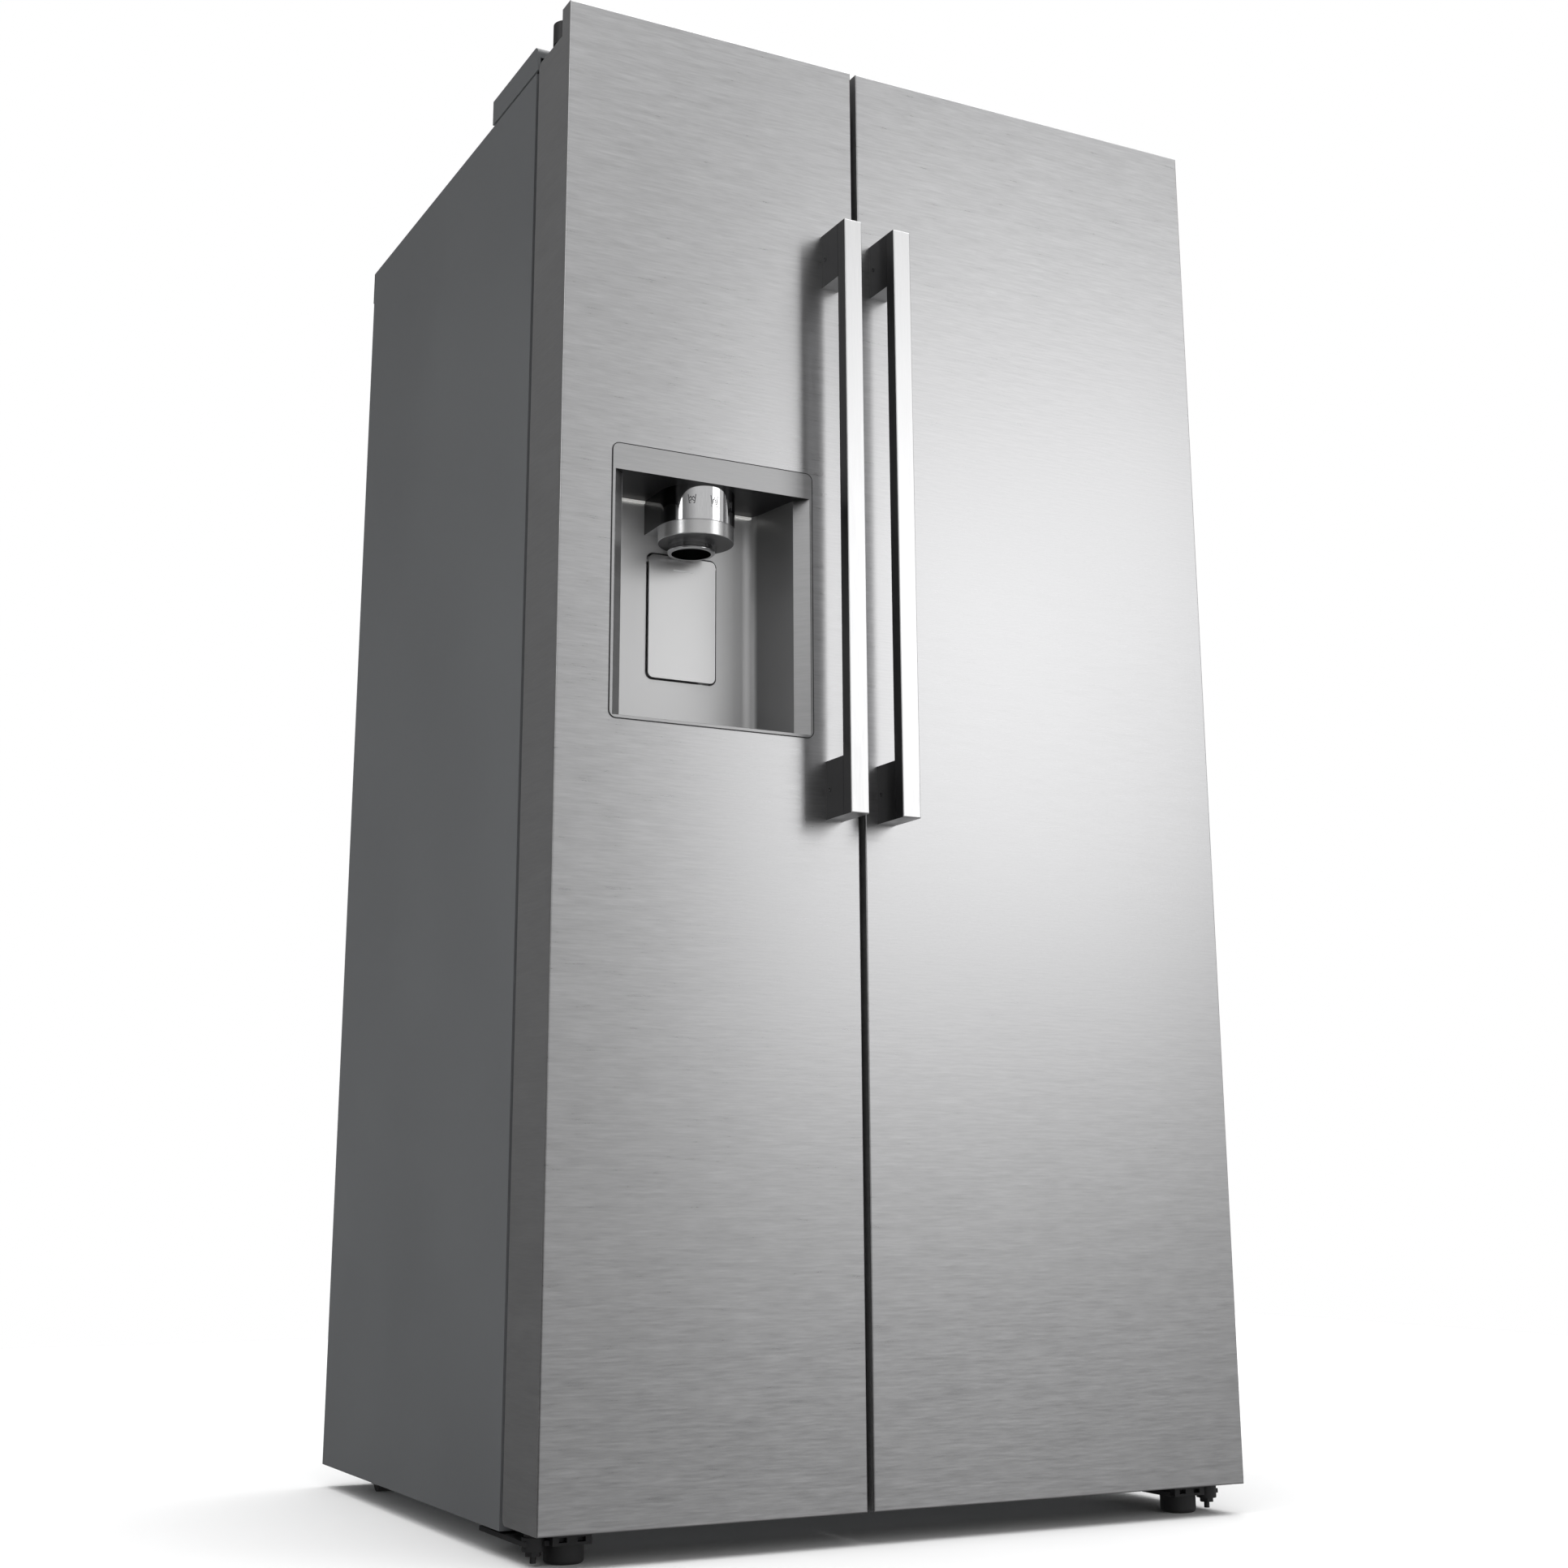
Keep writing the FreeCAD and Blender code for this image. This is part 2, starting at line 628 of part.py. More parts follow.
def drawer(xs, ys, zs):
    """A clear drawer: open tray with a thicker front that has a finger lip."""
    tray = open_tray(xs, ys, zs, DRAWER_WALL)
    front = block(xs, (ys[0] - 6, ys[0]), (zs[0], zs[1]))
    front = round_edges(front, 5, lambda c, d: along(Y_AXIS)(c, d))
    lip = block((xs[0] + 60, xs[1] - 60), (ys[0] - 16, ys[0]), (zs[1] - 6, zs[1]))
    lip = round_edges(lip, 4, lambda c, d: along(Z_AXIS)(c, d) and c.y < ys[0] - 1)
    return joined(tray, front, lip)


# ------------------------------------------------------------------ doors

def door_core(xs, shrink, back):
    """Body of a door behind its skin: a tall front lip and a lower rear part."""
    inner = grown(xs, -shrink)
    lip = block(inner, (SKIN, LIP_DEPTH - shrink), (shrink, DOOR_HEIGHT - shrink))
    main = block(inner, (SKIN, back), (shrink, STEP_HEIGHT - shrink))
    return joined(lip, main)


def hinge_bushes(x, shrink):
    """Plain bearings for the hinge pins, at the top and bottom of a door."""
    top = rod_z(x, HINGE_Y, BUSH_R, (STEP_HEIGHT - BUSH_LENGTH, STEP_HEIGHT - shrink))
    bottom = rod_z(x, HINGE_Y, BUSH_R, (shrink, BUSH_LENGTH))
    return [top, bottom]


def door_frame(xs, hinge_x):
    """Steel surround of a door, with its hinge bushes."""
    outside = door_core(xs, 0, DOOR_THICK)
    outside = round_edges(outside, 8, lambda c, d: along(X_AXIS)(c, d) and c.y > DOOR_THICK - 1)
    inside = door_core(xs, FRAME_WALL, LINER_FRONT)
    liner_space = block(grown(xs, -LINER_MARGIN), (LINER_FRONT, DOOR_THICK),
                        (LINER_MARGIN, STEP_HEIGHT - LINER_MARGIN))
    front = block(grown(xs, -FRAME_WALL), (SKIN, SKIN + 1), (FRAME_WALL, DOOR_HEIGHT - FRAME_WALL))
    surround = outside.cut([inside, liner_space, front])
    surround = joined(surround, *hinge_bushes(hinge_x, 0))
    top_hole = rod_z(hinge_x, HINGE_Y, PIN_BORE_R, (STEP_HEIGHT - BUSH_LENGTH + 4, STEP_HEIGHT + 1))
    bottom_hole = rod_z(hinge_x, HINGE_Y, PIN_BORE_R, (-1, BUSH_LENGTH - 3))
    return surround.cut([top_hole, bottom_hole])


def plug(xs, zs, bulge, grow):
    """Ridge around the inside of a door, which enters the cabinet, with any bulge inside it."""
    ridge = block(grown(xs, grow), (LINER_FRONT - 5, RIDGE_BACK + grow), grown(zs, grow))
    hollow = block(grown(xs, -RIDGE - grow), (LINER_FRONT + 1.5 * grow, RIDGE_BACK + 9),
                   grown(zs, -RIDGE - grow))
    shape = ridge.cut(hollow)
    if bulge:
        bulge_y = (LINER_FRONT - 5, BULGE_BACK + grow)
        shape = joined(shape, block(grown(BULGE_X, grow), bulge_y, grown(BULGE_Z, grow)))
    return shape


def chute_back(ys):
    """The level stretch of the ice's way, between two y."""
    middle = (SPOUT[0], SPOUT[0])
    return block(grown(middle, CHUTE_HALF), ys, (CHUTE_TOP - 2 * CHUTE_HALF, CHUTE_TOP))


def dispenser_space():
    """Square cut room that the dispenser's pieces take out of the freezer door."""
    front = block(DISPENSER_X, (-1, FLARE_DEPTH), DISPENSER_Z)
    side = OUTLINE + FLARE - RECESS_WALL
    recess = block(grown(DISPENSER_X, -side), (FLARE_DEPTH, RECESS_BACK + RECESS_WALL),
                   (RECESS_FLOOR - RECESS_WALL, CEILING + RECESS_WALL))
    pocket = block(grown(POCKET_X, RECESS_WALL), (RECESS_BACK, POCKET_BACK), grown(POCKET_Z, RECESS_WALL))
    tube = block(grown((SPOUT[0], SPOUT[0]), SPOUT_R), grown((SPOUT[1], SPOUT[1]), SPOUT_R),
                 (CEILING, SPOUT_Z[1]))
    way_up = block(grown((SPOUT[0], SPOUT[0]), CHUTE_R), grown((SPOUT[1], SPOUT[1]), CHUTE_R),
                   (SPOUT_Z[1] - 1, CHUTE_TOP))
    return [front, recess, pocket, tube, way_up, chute_back((SPOUT[1], DOOR_THICK + 5))]


def bush_spaces(x):
    """Square holes in the foam for the hinge bushes."""
    sides = [grown((x, x), BUSH_R), grown((HINGE_Y, HINGE_Y), BUSH_R)]
    return [block(*sides, (STEP_HEIGHT - BUSH_LENGTH, STEP_HEIGHT)), block(*sides, (0, BUSH_LENGTH))]


def freezer_door_foam():
    """Insulation of the freezer door, in blocks below, above and around the dispenser."""
    foam = joined(door_core(FREEZER_DOOR, FRAME_WALL, LINER_FRONT), plug(FREEZER_PLUG_X, PLUG_Z, True, 0))
    foam = foam.cut(bush_spaces(HINGE_X) + dispenser_space())
    low, high = DISPENSER_Z
    left, right = DISPENSER_X
    ys = (0, RIDGE_BACK + 10)
    cuts = [block(FREEZER_DOOR, ys, (0, low)), block(FREEZER_DOOR, ys, (high, DOOR_HEIGHT)),
            block((0, left), ys, (low, high)), block((right, FREEZER_DOOR[1]), ys, (low, high)),
            block((left, right), ys, (low, high))]
    return Part.makeCompound([foam.common(cut).Solids[0] for cut in cuts])


def fridge_door_foam():
    """Insulation of the fridge door."""
    foam = joined(door_core(FRIDGE_DOOR, FRAME_WALL, LINER_FRONT), plug(FRIDGE_PLUG_X, PLUG_Z, False, 0))
    return foam.cut(bush_spaces(WIDTH - HINGE_X))


def door_liner(xs, plug_xs, bulge, foam):
    """Moulded plastic inside of a door."""
    plate = block(grown(xs, -LINER_MARGIN), (LINER_FRONT, DOOR_THICK),
                  (LINER_MARGIN, STEP_HEIGHT - LINER_MARGIN))
    return joined(plate, plug(plug_xs, PLUG_Z, bulge, LINER)).cut(
        [foam, block(xs, (0, LINER_FRONT), (0, DOOR_HEIGHT))])


def gasket(xs):
    """Magnetic seal around the inside of a door."""
    outer_x = grown(xs, -GASKET_INSET)
    outer_z = (GASKET_INSET, STEP_HEIGHT - GASKET_INSET)
    ys = (DOOR_THICK, GASKET_BACK)
    ring = block(outer_x, ys, outer_z)
    return ring.cut(block(grown(outer_x, -GASKET_WIDTH), grown(ys, 1), grown(outer_z, -GASKET_WIDTH)))


def door_skin(xs):
    """Stainless front of a door, rounded at its edges."""
    sheet = block(xs, (0, SKIN), (0, DOOR_HEIGHT))
    return round_edges(sheet, 1.6, lambda c, d: c.y < 0.1)


def freezer_door_skin():
    """Front of the freezer door with the dispenser opening."""
    opening = round_edges(block(DISPENSER_X, (-1, SKIN + 1), DISPENSER_Z), DISPENSER_CORNER, along(Y_AXIS))
    return door_skin(FREEZER_DOOR).cut(opening)


def handle(x):
    """Flat bar handle on two full width posts."""
    xs = (x, x + BAR_WIDTH)
    bar = block(xs, (-HANDLE_REACH, BAR_DEPTH - HANDLE_REACH), BAR_Z)
    low = block(xs, (BAR_DEPTH - HANDLE_REACH, 0), (BAR_Z[0], BAR_Z[0] + POST_HEIGHT))
    high = block(xs, (BAR_DEPTH - HANDLE_REACH, 0), (BAR_Z[1] - POST_HEIGHT, BAR_Z[1]))
    whole = joined(bar, low, high)
    return round_edges(whole, 1.2, lambda c, d: c.y < 1 - HANDLE_REACH)


def door_bin(xs, back, z):
    """A clear bin between the ridges of a door."""
    tray = open_tray(xs, (DOOR_THICK + 1, back), (z, z + BIN_HEIGHT), BIN_WALL)
    return round_edges(tray, 6, lambda c, d: along(Z_AXIS)(c, d) and c.y > back - 1 and (
        abs(c.x - xs[0]) < 1 or abs(c.x - xs[1]) < 1))


def door_bins(plug_xs, back, heights):
    """All the bins of one door."""
    xs = grown(plug_xs, -RIDGE - LINER - 1)
    return Part.makeCompound([door_bin(xs, back, z) for z in heights])


# -------------------------------------------------------------- dispenser

def recess_block(grow):
    """The recess as a solid: walls that close in towards the back, with rounded back corners."""
    left = DISPENSER_X[0] + OUTLINE + FLARE - grow
    right = DISPENSER_X[1] - OUTLINE - FLARE + grow
    back = RECESS_BACK + grow
    plan = [(left, FLARE_DEPTH), (right, FLARE_DEPTH),
            (right - RECESS_SLOPE, back), (left + RECESS_SLOPE, back)]
    shape = prism(plan, (RECESS_FLOOR - grow, CEILING + grow))
    return round_edges(shape, RECESS_CORNER + grow, lambda c, d: along(Z_AXIS)(c, d) and c.y > back - 1)


def dispenser_frame():
    """Outline, lintel and flared front of the dispenser, flush with the door."""
    front = round_edges(block(DISPENSER_X, (-0.8, FLARE_DEPTH), DISPENSER_Z), DISPENSER_CORNER, along(Y_AXIS))
    outer_x = grown(DISPENSER_X, -OUTLINE)
    inner_x = grown(outer_x, -FLARE)
    mouth = [V(outer_x[0], -1, DISPENSER_Z[0] + OUTLINE), V(outer_x[1], -1, DISPENSER_Z[0] + OUTLINE),
             V(outer_x[1], -1, CEILING), V(outer_x[0], -1, CEILING)]
    throat = [V(inner_x[0], FLARE_DEPTH + 0.1, RECESS_FLOOR), V(inner_x[1], FLARE_DEPTH + 0.1, RECESS_FLOOR),
              V(inner_x[1], FLARE_DEPTH + 0.1, CEILING), V(inner_x[0], FLARE_DEPTH + 0.1, CEILING)]
    opening = Part.makeLoft([Part.makePolygon(mouth + mouth[:1]), Part.makePolygon(throat + throat[:1])],
                            True, True)
    return front.cut([opening, nozzle_plan(NOZZLE_R + 0.3, (RING_Z[0], CEILING))])


def dispenser_recess():
    """Moulded recess with the pocket that the paddle moves into."""
    outside = joined(recess_block(RECESS_WALL),
                     block(grown(POCKET_X, RECESS_WALL), (RECESS_BACK, POCKET_BACK),
                           grown(POCKET_Z, RECESS_WALL)))
    pocket = block(POCKET_X, (RECESS_BACK - 1, POCKET_BACK - RECESS_WALL), POCKET_Z)
    pocket = round_edges(pocket, POCKET_CORNER, along(Y_AXIS))
    pivots = rod_x(PADDLE_PIVOT[0], PADDLE_PIVOT[1], 2.06, (POCKET_X[0] - 2, POCKET_X[1] + 2))
    tube = rod_z(SPOUT[0], SPOUT[1], SPOUT_R, (CEILING - 1, CEILING + 5))
    return outside.cut([recess_block(0), pocket, pivots, tube])


def nozzle_plan(radius, zs):
    """Half round front with straight sides back to the recess wall."""
    x, y = NOZZLE
    nose = rod_z(x, y, radius, zs)
    return joined(nose, block((x - radius, x + radius), (y, RECESS_BACK), zs))


def nozzle_housing():
    """Bright housing under the recess ceiling, with a floor that the tube passes through."""
    zs = (RING_Z[1], CEILING)
    shell = nozzle_plan(NOZZLE_R, zs)
    x, y = NOZZLE
    inside_r = NOZZLE_R - RECESS_WALL
    inside_z = (RING_Z[1] + RECESS_WALL, CEILING)
    hollow = joined(rod_z(x, y, inside_r, inside_z),
                    block((x - inside_r, x + inside_r), (y, RECESS_BACK - RECESS_WALL), inside_z))
    return shell.cut([hollow, rod_z(*SPOUT, SPOUT_R, grown(RING_Z, 5))])


def nozzle_ring():
    """Round satin plate under the housing."""
    plate = rod_z(*NOZZLE, RING_R, RING_Z)
    bottom = [edge for edge in plate.Edges if abs(edge.CenterOfMass.z - RING_Z[0]) < 0.1]
    plate = plate.makeFillet(1.2, bottom)
    return plate.cut(rod_z(*SPOUT, SPOUT_R, grown(RING_Z, 1)))


def ice_spout():
    """Tube that drops the ice, with a lip, the flap's seat and its pivot holes."""
    x, y = SPOUT
    tube = rod_z(x, y, SPOUT_R, SPOUT_Z)
    lip = rod_z(x, y, SPOUT_R + SPOUT_LIP, (SPOUT_Z[0], SPOUT_Z[0] + 4))
    lip = lip.makeFillet(1.8, [edge for edge in lip.Edges if len(edge.Vertexes) == 1])
    bore = rod_z(x, y, SPOUT_BORE_R, grown(SPOUT_Z, 1))
    seat = rod_z(x, y, SPOUT_R - 1, SEAT_Z).cut(rod_z(x, y, 15, grown(SEAT_Z, 1)))
    pivot = rod_x(FLAP_PIVOT[0], FLAP_PIVOT[1], 1.56, (x - 20, x + 20))
    return joined(joined(tube, lip).cut(bore), seat).cut(pivot)


def ice_flap():
    """Round flap under the seat, on a pin through the tube."""
    x, y = SPOUT
    disc = rod_z(x, y, 18, (1153.5, 1155.5))
    neck = block((x - 6, x + 6), (y + 14, FLAP_PIVOT[0]), (1153.5, 1155.5))
    pin = rod_x(FLAP_PIVOT[0], FLAP_PIVOT[1], 1.5, (x - 15, x + 15))
    return joined(disc, neck, pin)


def dispenser_paddle():
    """Plate that the glass pushes, hung on two pins near its top."""
    plate = block(PADDLE_X, (94.5, 98.0), PADDLE_Z)
    plate = round_edges(plate, 7, along(Y_AXIS))
    ear_z = grown((PADDLE_PIVOT[1], PADDLE_PIVOT[1]), 4)
    left = block((PADDLE_X[0], PADDLE_X[0] + 5), (97.5, PADDLE_PIVOT[0] + 4), ear_z)
    right = block((PADDLE_X[1] - 5, PADDLE_X[1]), (97.5, PADDLE_PIVOT[0] + 4), ear_z)
    left_pin = rod_x(PADDLE_PIVOT[0], PADDLE_PIVOT[1], 2, (POCKET_X[0] - 1.5, PADDLE_X[0] + 4))
    right_pin = rod_x(PADDLE_PIVOT[0], PADDLE_PIVOT[1], 2, (PADDLE_X[1] - 4, POCKET_X[1] + 1.5))
    return joined(plate, left, right, left_pin, right_pin)


def ice_maker():
    """Housing of the ice maker and its bucket on the inside of the freezer door."""
    xs = grown(FREEZER_PLUG_X, -RIDGE - LINER - 1)
    ys = (DOOR_THICK + 0.5, FREEZER_BIN_BACK)
    outside = round_edges(block(xs, ys, ICE_MAKER_Z), 10, lambda c, d: c.y > FREEZER_BIN_BACK - 1)
    inside = block(grown(xs, -3), grown(ys, -3), grown(ICE_MAKER_Z, -3))
    return outside.cut([inside, chute_back((DOOR_THICK, DOOR_THICK + 8))])


# ----------------------------------------------------------------- export

def export(name, shape):
    """Write one piece, moved to the origin on the floor."""
    placed = shape.copy()
    placed.translate(V(-WIDTH / 2, HANDLE_REACH - DEPTH / 2, FLOOR_GAP))
    placed.exportStep("parts/" + name + ".step")


def pieces():
    """Every piece by name."""
    freezer_foam = freezer_door_foam()
    fridge_foam = fridge_door_foam()
    wide = grown(FRIDGE_X, -LINER - 5)
    found = {
        "left_side_panel": side_panel(),
        "right_side_panel": mirrored(side_panel()),
        "top_panel": top_panel(),
        "back_panel": back_panel(),
        "base_plate": base_plate(),
        "cabinet_foam": cabinet_foam(),
        "freezer_liner": freezer_liner(),
        "fridge_liner": fridge_liner(),
        "hinge_cover_left": hinge_cover(),
        "hinge_cover_right": mirrored(hinge_cover()),
        "upper_hinge_left": upper_hinge(),
        "upper_hinge_right": mirrored(upper_hinge()),
        "lower_hinge_left": lower_hinge(),
        "lower_hinge_right": mirrored(lower_hinge()),
        "levelling_feet": levelling_feet(),
        "rear_rollers": rear_rollers(),
        "rear_spacer": rear_spacer(),
        "machine_cover": machine_cover(),
        "compressor": compressor(),
        "condenser": condenser(),
        "fan_motors": fan_motors(),
        "drain_pan": drain_pan(),
        "water_valve": water_valve(),
        "cord_gland": cord_gland(),
        "evaporator": evaporator(),
        "evaporator_cover": evaporator_cover(),
        "fridge_air_duct": fridge_air_duct(),
        "freezer_shelves": freezer_shelves(),
        "crisper_cover": fridge_shelf(CRISPER_COVER),
        "interior_lamps": interior_lamps(),
        "water_filter": water_filter(),
        "evaporator_fan": evaporator_fan(),
        "condenser_fan": condenser_fan(),
        "upper_crisper": drawer(wide, (DRAWER_FRONT, 690), (STEP_TOP + 13, 470)),
        "lower_crisper": drawer(wide, (DRAWER_FRONT, 515), (CAVITY_Z[0] + 5, 258)),
        "freezer_drawer": drawer(grown(FREEZER_X, -LINER - 5), (DRAWER_FRONT, 515), (CAVITY_Z[0] + 5, 258)),
        "freezer_door_skin": freezer_door_skin(),
        "freezer_door_frame": door_frame(FREEZER_DOOR, HINGE_X),
        "freezer_door_foam": freezer_foam,
        "freezer_door_liner": door_liner(FREEZER_DOOR, FREEZER_PLUG_X, True, freezer_foam).cut(
            dispenser_space()),
        "freezer_door_gasket": gasket(FREEZER_DOOR),
        "freezer_handle": handle(FREEZER_BAR_X),
        "freezer_door_bins": door_bins(FREEZER_PLUG_X, FREEZER_BIN_BACK, FREEZER_BINS),
        "fridge_door_skin": door_skin(FRIDGE_DOOR),
        "fridge_door_frame": door_frame(FRIDGE_DOOR, WIDTH - HINGE_X),
        "fridge_door_foam": fridge_foam,
        "fridge_door_liner": door_liner(FRIDGE_DOOR, FRIDGE_PLUG_X, False, fridge_foam),
        "fridge_door_gasket": gasket(FRIDGE_DOOR),
        "fridge_handle": handle(FRIDGE_BAR_X),
        "fridge_door_bins": door_bins(FRIDGE_PLUG_X, FRIDGE_BIN_BACK, FRIDGE_BINS),
        "dispenser_frame": dispenser_frame(),
        "dispenser_recess": dispenser_recess(),
        "nozzle_housing": nozzle_housing(),
        "nozzle_ring": nozzle_ring(),
        "ice_spout": ice_spout(),
        "ice_flap": ice_flap(),
        "dispenser_paddle": dispenser_paddle(),
        "ice_maker": ice_maker(),
    }
    for name, top in FRIDGE_SHELVES.items():
        found[name] = fridge_shelf(top)
    return found


os.makedirs("parts", exist_ok=True)
for piece_name, piece in pieces().items():
    export(piece_name, piece)
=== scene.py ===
import json
import math

import bmesh
import bpy
from mathutils import Matrix, Vector


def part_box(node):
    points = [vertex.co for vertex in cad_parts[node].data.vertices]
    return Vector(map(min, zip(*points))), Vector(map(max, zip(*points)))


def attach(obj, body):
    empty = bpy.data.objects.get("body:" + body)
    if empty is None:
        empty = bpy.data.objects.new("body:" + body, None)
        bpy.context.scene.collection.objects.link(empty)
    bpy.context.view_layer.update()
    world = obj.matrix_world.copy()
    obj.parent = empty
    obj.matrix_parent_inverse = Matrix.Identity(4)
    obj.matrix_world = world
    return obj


# The looks of a side by side refrigerator: its CAD pieces keep their shapes and get detailed
# materials, and the small parts that CAD leaves out are built here. Lengths are in metres, apart
# from the sizes below, which are in millimetres.

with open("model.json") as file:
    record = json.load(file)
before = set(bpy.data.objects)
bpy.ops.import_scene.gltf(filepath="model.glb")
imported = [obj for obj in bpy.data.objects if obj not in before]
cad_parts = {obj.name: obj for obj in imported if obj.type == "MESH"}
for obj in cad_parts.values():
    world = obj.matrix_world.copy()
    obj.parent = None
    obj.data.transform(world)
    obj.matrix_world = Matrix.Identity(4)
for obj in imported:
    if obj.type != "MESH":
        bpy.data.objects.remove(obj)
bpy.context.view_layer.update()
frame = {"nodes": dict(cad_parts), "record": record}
nodes = frame["nodes"]

# ---------------------------------------------------- sizes, in millimetres

MM = 0.001
DIP = 0.1                     # how far a piece reaches into the face that carries it
TRIM_EDGE = 0.3
TRIM_PROUD = 0.8
SIDE_TRIM = 8.0               # from the end of a satin strip to the side of its drawer or bin

LAMP_REACH = 53.0             # past the nozzle housing, on each side
LAMP_DEPTH = 4.0
LAMP_SLANT = 6.0              # of the lens's outer ends
LAMP_GAP = 0.5                # between the lens and the housing
LAMP_DROPS = (3.6, 0.4)       # its lower and upper face, under the housing's top
LAMP_EDGE = 0.6

OUTLINE_WIDTH = 1.1
OUTLINE_PROUD = 0.08
OUTLINE_SUNK = 0.3
FRAME_CORNER = 8.0

ICON_LINE = 0.95
ICON_LIFT = 0.12
ICON_SINK = 0.05
ICON_SIZE = 1.5               # times the size the strokes are given in
ICON_RISE = 24.5              # over the bottom of the nozzle housing
ICON_TURNS = (-31.0, 2.5, 36.0)   # degrees round the housing from its front

MARK_DROP = 17.0              # under the paddle's top
MARK_HALF_WIDTH = 13.0
MARK_HALF_HEIGHT = 0.8
MARK_PROUD = 0.6
MARK_SINK = 0.2
MARK_EDGE = 0.25

RECESS_FLOOR = 2.55
GRILLE_THICKNESS = 1.7
GRILLE_SIDE = 24.0
GRILLE_FRONT = 8.0
GRILLE_BACK = 14.0            # in front of the nozzle housing's back
GRILLE_RIM = 5.0
GRILLE_GAPS = 26
GRILLE_HALF_BAR = 1.3

HEAD_PROFILE = ((1.0, 0.0), (1.0, 0.7), (0.86, 1.0), (0.5, 1.0), (0.46, 0.35))   # radius and height shares
HEAD_CORNERS = 24
SET_SCREW = (3.0, 0.35)       # radius and height, as for the other screws
SET_SCREW_ENDS = (35.0, 34.0)   # from a handle's lower and upper end
SET_SCREW_DEPTH = 9.0         # in front of the door
LID_SCREW = (4.5, 1.4)
LID_SCREW_SHARES = (0.35, 0.8)
SHEET_SCREW = (4.0, 2.0)

BAR_DEPTH = 18.0
POST_HEIGHT = 70.0
SEAM_REACH = 0.12
SEAM_WIDTH = 0.5

SHELF_TRIM_SIDE = 9.0
SHELF_TRIM = ((-4.0, -2.0), (-2.5, -4.0), (6.0, -2.0), (6.0, -0.02), (-0.1, -0.02), (-0.1, 5.1),
              (6.0, 5.1), (6.0, 6.2), (-3.0, 6.2), (-4.0, 5.0))   # from the glass's lower front edge
FREEZER_SHELF_RISES = (0.0, 345.0, 685.0, 1025.0)
DRAWER_FRONT = 10.0           # behind the drawer's lip
DRAWER_TRIM_DROPS = (30.0, 22.0)
BIN_HEIGHT = 110.0
BIN_TRIM_DROPS = (16.0, 7.0)

RIB_SHARES = (0.2, 0.5, 0.8)
RIB_HALF_WIDTH = 12.0
RIB_PROUD = 1.2
RIB_END = 120.0
RIB_EDGE = 1.0
PANEL_SCREW_SIDE = 12.0
PANEL_SCREW_SHARES = (0.03, 0.27, 0.5, 0.73, 0.95)
COVER_SCREW_SIDE = 14.0
COVER_SCREW_ENDS = (12.0, 10.0)   # from the machine cover's lower and upper edge

BUCKET_SEAM_SHARE = 0.45
BUCKET_SEAM_SIDE = 10.0
BUCKET_SEAM_PROUD = 0.5
BUCKET_SEAM_HEIGHT = 1.2
GRIP_HALF_WIDTH = 45.0
GRIP_PROUD = 5.0
GRIP_DROPS = (60.0, 44.0)     # under the seam
GRIP_EDGE = 2.0

# ------------------------------------------------------------------ materials


